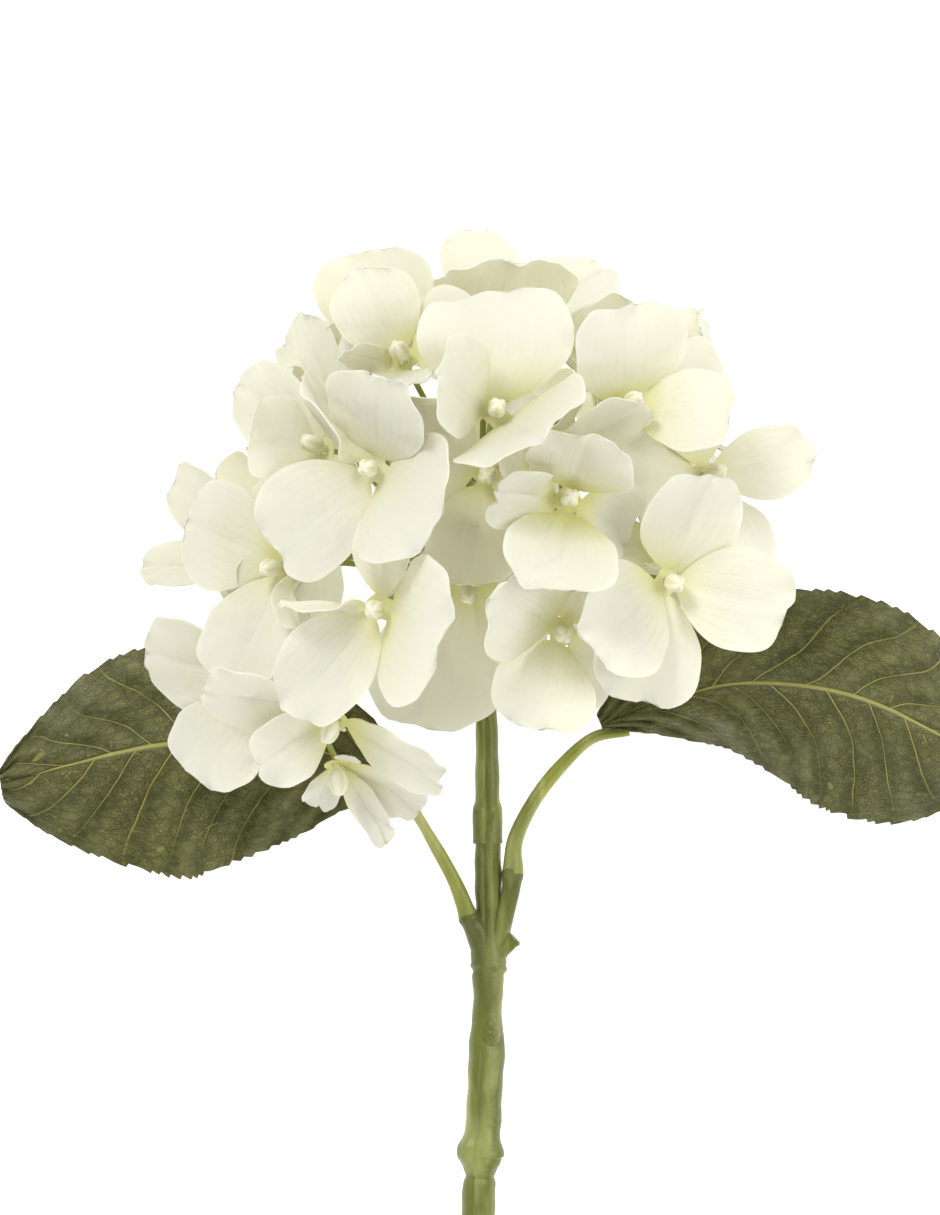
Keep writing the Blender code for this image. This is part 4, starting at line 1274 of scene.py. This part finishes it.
@dataclass(frozen=True)
class BeadCream:
    """Soft cream moulding of the beads at the florets' middles, with painted shade in its grooves."""

    cream: Colour = (0.84, 0.83, 0.68, 1.0)
    shade: Colour = (0.74, 0.72, 0.42, 1.0)
    roughness: float = 0.5

    def build(self, effects: Effects) -> bpy.types.Material:
        """The finish, as a node material."""
        made, graph, shader, _ = new_material("bead_cream", {
            "Roughness": self.roughness, "Subsurface Weight": 0.15, "Subsurface Scale": 0.003})
        column, row = graph.sheet_share()
        cloud = graph.group(effects.mottle, Scale=300.0, Low=0.4, High=0.7).outputs[0]
        # Painted shade: darker in the four grooves, and darker towards the bead's foot.
        swing = graph.math("COSINE", graph.times(column, 2 * FULL_TURN, 0.4 - FULL_TURN))
        groove = graph.ramp(graph.math("ABSOLUTE", swing), 0.75, 1.0)
        low = graph.most(graph.ramp(row, 0.55, 0.10), graph.times(groove, 0.8))
        painted_shade_amount = graph.math("MULTIPLY_ADD", cloud, 0.25, low, clamp=True)
        grain = graph.group(effects.grain, Scale=2200.0, Slow=500.0).outputs[0]
        graph.cover(shader, graph.mix(painted_shade_amount, self.cream, self.shade), grain, 0.2, 0.0003)
        return made


# ---------------------------------------------------------------------------------------------------------
# Stem


def above(y: np.ndarray, level: float, blur: float) -> np.ndarray:
    """0 below a level and 1 above it, with a soft step between."""
    return 1 / (1 + np.exp(-(y - level) / blur))


@dataclass
class Stem:
    """The moulded stem from its cut end to the joint under the head, with its scars, stubs and bud.

    Each bump of a leaf scar has its direction, its height and how far up it sits.
    """

    radius: float = 4.1
    route: tuple[Point, ...] = ((-4, -345, 0), (-4, -265, 0), (-2.6, -200, 0), (-1.5, -160, 0), (0.6, -115, 0),
                                (1.2, -92, 0), (0.9, -64, 0))
    stalk_radius: float = 3.3
    scars: tuple[float, ...] = (-300.0, -222.0, -145.0)
    scar_bumps: tuple[Point, ...] = ((0.75, 1.9, 0.0), (2.75, 2.3, 1.0), (-1.4, 1.4, 1.0))
    fork: float = -97.0
    stalk_foot: float = -91.0
    mould_line: float = -136.5
    sheath_top: float = -118.0
    bud_ends: tuple[float, float] = (-117.5, -108.5)

    def scar_relief(self, y: np.ndarray, angle: np.ndarray) -> np.ndarray:
        """The bumps and the ring of each leaf scar."""
        added = np.zeros_like(y)
        for k, scar in enumerate(self.scars):
            for turn, height, up in self.scar_bumps:
                aside = turned(angle, turn + 0.9 * (2 - k))
                bump = np.exp(-np.abs((y - scar - up) / 3.1) ** 2.6) * np.exp(-np.abs(aside / 0.85) ** 2.6)
                added = added + height * bump
            added = added - 0.45 * bell(y, scar - 5.2, 0.9)
        return added

    def relief(self, y: np.ndarray, share: np.ndarray, angle: np.ndarray) -> np.ndarray:
        """What the scars, the fork and the mould's seams add to the stem's radius."""
        taper = (self.stalk_radius - self.radius) * above(y, self.fork, 1.5)
        fork = 0.9 * bell(y, self.fork + 3, 4.5)
        lip_level = self.fork - 1.2 + 1.2 * np.sin(angle - 0.4)
        lip = 0.35 * bell(y - lip_level, 0.0, 0.6) - 0.3 * bell(y - lip_level, -1.3, 0.7)
        front = bell(turned(angle, 1.1), 0.0, 0.9)
        mould = 0.25 * bell(y, self.mould_line, 0.35) * front
        sheath = 1 - above(y - 4 * (1 - front), self.sheath_top, 1 / 1.5)
        over = 1 - above(np.abs(turned(angle, 0.75)), 1.1, 1 / 9)
        sheath = 0.55 * sheath * over * (y > self.scars[-1])
        seam = 0.45 * bell(turned(angle, 1.75), 0.0, 0.10) * (0.4 + 0.6 * (y < self.scars[-1]))
        seam = (seam - 0.3 * bell(turned(angle, 2.0), 0.0, 0.16)) * (y < self.sheath_top)
        waist = 0.35 * np.sin((y - self.fork) * 0.16) * bell(y, -112.0, 16.0)
        uneven = 0.13 * np.sin(0.31 * y + 2 * angle) + 0.09 * np.sin(0.83 * y - angle + 1.0)
        groove = -0.9 * bell(turned(angle, 1.9), 0.0, 0.20) * above(y, self.stalk_foot + 1, 2.0)
        strand = 0.5 * bell(turned(angle, 1.35), 0.0, 0.22) * above(y, self.stalk_foot - 1, 2.0)
        return (self.scar_relief(y, angle) + taper + fork + lip + mould + sheath + seam + waist + uneven
                + groove + strand)

    def bud(self) -> bpy.types.Object:
        """The flat pointed bud on the front of the stem."""
        low, high = self.bud_ends

        def shape(share: np.ndarray, side: np.ndarray) -> np.ndarray:
            angle = side * math.pi
            wide = 2.5 * arch(share, 0.7) ** 0.8 * (1 - 0.45 * share)
            deep = 2.0 * arch(share, 0.55) ** 0.7
            scale = 1 + 0.16 * np.sin(share * 30 + 2 * np.cos(angle)) * np.sin(3 * angle) * arch(share)
            return np.stack([1.8 + wide * scale * np.cos(angle), low + (high - low) * share,
                             3.1 + deep * scale * np.sin(angle)], axis=-1)

        piece = formed_grid("stem_bud", 20, 24, shape)
        weld(piece)
        smooth(piece)
        return piece

    def build(self, finish: bpy.types.Material) -> None:
        """The stem with what is moulded to it, in place of the frame's main_stem."""
        rods = (
            Tube("stem_rod", self.route, (self.radius, self.radius), 56, 620, self.relief),
            Tube("stem_left_socket", ((1.0, -98, 0), (-1.6, -90, 1.2), (-3.3, -86.2, 1.7), (-3.9, -84.6, 1.8)),
                 (2.8, 2.8, 2.7, 2.6), 32, 30, self.socket_relief),
            Tube("stem_right_stub", ((1.4, -97, 0), (4.4, -88, 1.6), (6.4, -80, 2.0), (7.2, -73.2, 2.2)),
                 (2.9, 2.5, 2.2, 2.5), 32, 40, self.socket_relief),
            Tube("stem_cut_stub", ((1.6, -96.5, 0.6), (4.6, -93.4, 1.0), (7.6, -90.4, 1.2)),
                 (2.6, 2.2, 1.9), 28, 24, self.socket_relief),
        )
        pieces = [rod.build() for rod in rods]
        dress(joined("main_stem_finished", [*pieces, self.bud()]), finish, Slot.STEM, "main_stem")

    @staticmethod
    def socket_relief(y: np.ndarray, share: np.ndarray, angle: np.ndarray) -> np.ndarray:
        """A lip at the mouth of a socket and slight dents in its side."""
        return 0.35 * bell(share, 0.93, 0.05) + 0.08 * np.sin(3 * angle + 9 * share)


@dataclass
class FlowerStalk:
    """The stalk between the stem's sheath and the florets' branches. solid_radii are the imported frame's."""

    route: tuple[Point, ...] = ((0.9, -67.0, 0), (0.8, -48, 0), (0.6, -33, 0), (0.3, -18, 0), (0, 0, 0))
    radii: tuple[float, ...] = (3.25, 3.0, 2.6, 2.6, 3.3)
    solid_radii: tuple[float, ...] = (3.3, 3.0, 2.5, 2.6, 3.4)
    sheath_edge: float = -61.0
    ring: float = -31.0

    def relief(self, y: np.ndarray, share: np.ndarray, angle: np.ndarray) -> np.ndarray:
        """A groove up the front, a V-shaped sheath edge at the foot and a ring under the branches."""
        groove = -0.75 * bell(turned(angle, 1.75), 0.0, 0.25)
        sheath = 0.55 * (1 - above(y - 2.2 * np.abs(turned(angle, 1.6)), self.sheath_edge, 1 / 3))
        return groove + sheath + 0.5 * bell(y, self.ring, 1.2) + 0.07 * np.sin(0.6 * y + 2 * angle)

    def build(self, finish: bpy.types.Material) -> None:
        """The stalk, in place of the frame's flower_stalk."""
        piece = Tube("flower_stalk_finished", self.route, self.radii, 48, 160, self.relief).build()
        dress(piece, finish, Slot.STEM, "flower_stalk")

    def tree(self) -> BVHTree:
        """A search tree of the stalk as the frame has it."""
        return rod_tree(self.route, [radius + CLEARANCE for radius in self.solid_radii])


@dataclass
class Petiole:
    """A leaf's stalk, channelled along its upper side."""

    name: str
    route: Sequence[Sequence[float]]
    radii: tuple[float, ...]

    @staticmethod
    def relief(y: np.ndarray, share: np.ndarray, angle: np.ndarray) -> np.ndarray:
        """A channel, a swollen foot and slight dents."""
        channel = -0.35 * bell(turned(angle, 1.9), 0.0, 0.35)
        return channel + 0.55 * bell(share, 0.0, 0.07) + 0.06 * np.sin(14 * share + 2 * angle)

    def build(self, finish: bpy.types.Material) -> None:
        """The stalk, in place of the frame's petiole."""
        piece = Tube(self.name + "_finished", self.route, self.radii, 32, 90, self.relief).build()
        dress(piece, finish, Slot.PETIOLE, self.name)


# ---------------------------------------------------------------------------------------------------------
# Studio


@dataclass
class Softbox:
    """One large soft lamp, placed in the growing frame and turned to the head."""

    name: str
    place: tuple[float, float, float]
    size: float
    power: float
    target: Point = (0.0, 0.0, 20.0)

    def build(self) -> None:
        """Hang the lamp."""
        data = bpy.data.lights.new(self.name, "AREA")
        data.shape = "DISK"
        data.size = self.size
        data.energy = self.power
        lamp = bpy.data.objects.new(self.name, data)
        bpy.context.scene.collection.objects.link(lamp)
        here = Vector(POSE.place(np.array(self.place)))
        aim = Vector(POSE.place(np.array(self.target)))
        lamp.location = here
        lamp.rotation_euler = (aim - here).to_track_quat("-Z", "Y").to_euler()


@dataclass
class Studio:
    """A near-white floor, soft lamps and the camera over the open face of the head."""

    lens: float = 106.67
    sensor: float = 36.0
    eye: tuple[float, float, float] = (-3.5, -8.1, 900.0)
    floor_size: float = 8.0
    floor_glow: float = 0.55
    room_light: float = 0.58

    def floor(self) -> None:
        """The pale floor at the surface the stem lies on."""
        bpy.ops.object.select_all(action="DESELECT")
        bpy.ops.mesh.primitive_plane_add(size=self.floor_size, location=(0, 0, 0))
        plane = bpy.context.active_object
        plane.name = "studio_floor"
        made = new_material("studio_floor", {
            "Base Color": (0.93, 0.93, 0.93, 1.0), "Roughness": 0.9, "Specular IOR Level": 0.1,
            "Emission Color": (1.0, 1.0, 1.0, 1.0), "Emission Strength": self.floor_glow})[0]
        plane.data.materials.append(made)

    def lamps(self) -> None:
        """Large lamps above and beside the camera, and an even room."""
        Softbox("key_lamp", (-450, 750, 850), 0.4, 6.8).build()
        Softbox("fill_lamp", (750, 100, 700), 0.6, 4.0).build()
        Softbox("front_lamp", (-200, -700, 900), 0.8, 2.2).build()
        world = bpy.data.worlds.new("studio_room")
        world.use_nodes = True
        background = world.node_tree.nodes["Background"]
        background.inputs["Color"].default_value = (1.0, 1.0, 1.0, 1.0)
        background.inputs["Strength"].default_value = self.room_light
        bpy.context.scene.world = world

    def camera(self) -> None:
        """The camera, which looks straight at the open face."""
        data = bpy.data.cameras.new("studio_camera")
        data.lens = self.lens
        data.sensor_width = self.sensor
        data.sensor_fit = "AUTO"
        camera = bpy.data.objects.new("studio_camera", data)
        camera.location = POSE.place(np.array(self.eye))
        camera.rotation_euler = Euler((POSE.tilt, POSE.roll, 0.0))
        bpy.context.scene.collection.objects.link(camera)
        bpy.context.scene.camera = camera

    def build(self) -> None:
        """The whole studio."""
        self.floor()
        self.lamps()
        self.camera()
        bpy.context.scene.view_settings.view_transform = "Standard"
        bpy.context.scene.view_settings.look = "None"


# ---------------------------------------------------------------------------------------------------------
# The whole stem


@dataclass
class Head:
    """All the florets, on the branches that carry them."""

    sheet: FloretSheet = field(default_factory=FloretSheet)
    branchwork: Branchwork = field(default_factory=Branchwork)
    florets: list[Floret] = field(default_factory=lambda: front_florets() + BackRings().florets())

    def settle(self, others: Sequence[BVHTree]) -> None:
        """Lay the sepals clear of each other and of these search trees."""
        Settler().settle(self.florets, [*others, *self.branchwork.obstacles(self.florets)])

    def build(self, cloth: bpy.types.Material, green: bpy.types.Material, cream: bpy.types.Material) -> None:
        """Every floret's sheet, then the branches."""
        for n, one in enumerate(self.florets, start=1):
            node = f"floret_{n:02d}"
            dress(self.sheet.build(node + "_sheet", one), cloth, Slot.SEPAL, node)
        for name in self.branchwork.ways:
            held = [one for one in self.florets if self.branchwork.nearest(one) == name]
            if held:
                self.branchwork.build(name, held, green, cream)


def surface_tree(stem: Stem, tilt: float = 9.5, sunk: float = 0.3, reach: float = 300.0) -> BVHTree:
    """A search tree of the flat that presses the back of the head, under the lowest point of the cut end.

    Args:
        stem: the stem that lies on the flat.
        tilt: how far the flat leans against the stem, in degrees.
        sunk: how far the cut end may go into it, in millimetres.
        reach: half its width, in millimetres.
    """
    level = np.array(Matrix.Rotation(-math.radians(tilt), 3, "X"))
    end = np.array((stem.route[0][0], stem.route[0][1], 0.0))
    touch = end - level @ np.array(OUTWARD) * (stem.radius - sunk)
    corners = [(-1, -1), (1, -1), (1, 1), (-1, 1)]
    points = [touch + level @ np.array((x * reach, y * 2 * reach, 0)) for x, y in corners]
    return BVHTree.FromPolygons([Vector(p) for p in points], [(0, 1, 2), (0, 2, 3)])


def petioles() -> list[Petiole]:
    """The two leaf stalks."""
    return [
        Petiole("left_petiole", ((-3.6, -86.0, 1.8), (-6.6, -78, 2.2), (-9.6, -72, 2.6), (-14.2, -64, 3.0),
                                 (-18.4, -57, 2.0)), (2.1, 1.9, 1.6, 1.4, 1.3)),
        Petiole("right_petiole", ((7.2, -74.2, 2.3), (7.8, -66, 2.6), (12.5, -56.2, 3.4), (19.2, -47.5, 4.2),
                                  (27, -40.6, 4.2), (36, -38.6, 4.0)), (2.1, 1.9, 1.7, 1.5, 1.4)),
    ]


def both_leaves() -> list[Leaf]:
    """The two blades."""
    return [
        Leaf("left_leaf", ((-18, -55, 4), (-34, -46, 3), (-58, -42, 1), (-84, -43, -2), (-124, -53, -8)),
             33, 34, 38, 4, (1.1, 0.8), (1.2, 0.75), ridge=1.4),
        Leaf("right_leaf", ((27, -38, 8), (46, -31, 11), (66, -27, 12), (94, -31, 10), (127, -47, 1)),
             31, 32, 34, 22, (1.25, 0.6), (2.0, 0.5), ridge=4.5),
    ]


def main() -> None:
    """Build the stem piece by piece, then the studio."""
    logging.basicConfig(level=logging.INFO, format="%(name)s: %(message)s")
    for name in ("Cube", "Light", "Camera"):
        spare = bpy.data.objects.get(name)
        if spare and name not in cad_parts:
            bpy.data.objects.remove(spare, do_unlink=True)
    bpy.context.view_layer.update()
    effects = Effects()
    cloth = SepalCloth().build(effects)
    blade = LeafBlade().build(effects)
    cream = BeadCream().build(effects)
    stem_green = MouldedGreen("stem_green", (0.140, 0.160, 0.022, 1), (0.33, 0.36, 0.11, 1),
                              (0.066, 0.078, 0.009, 1)).build(effects)
    petiole_green = MouldedGreen("petiole_green", (0.33, 0.35, 0.065, 1), (0.52, 0.54, 0.22, 1),
                                 (0.18, 0.20, 0.03, 1)).build(effects)
    stem, stalk, leaves = Stem(), FlowerStalk(), both_leaves()
    stem.build(stem_green)
    stalk.build(stem_green)
    for petiole in petioles():
        petiole.build(petiole_green)
    for leaf in leaves:
        leaf.build(blade)
    head = Head()
    head.settle([surface_tree(stem), stalk.tree(), *[leaf.tree() for leaf in leaves]])
    head.build(cloth, petiole_green, cream)
    Studio().build()


if __name__ == "__main__":
    main()
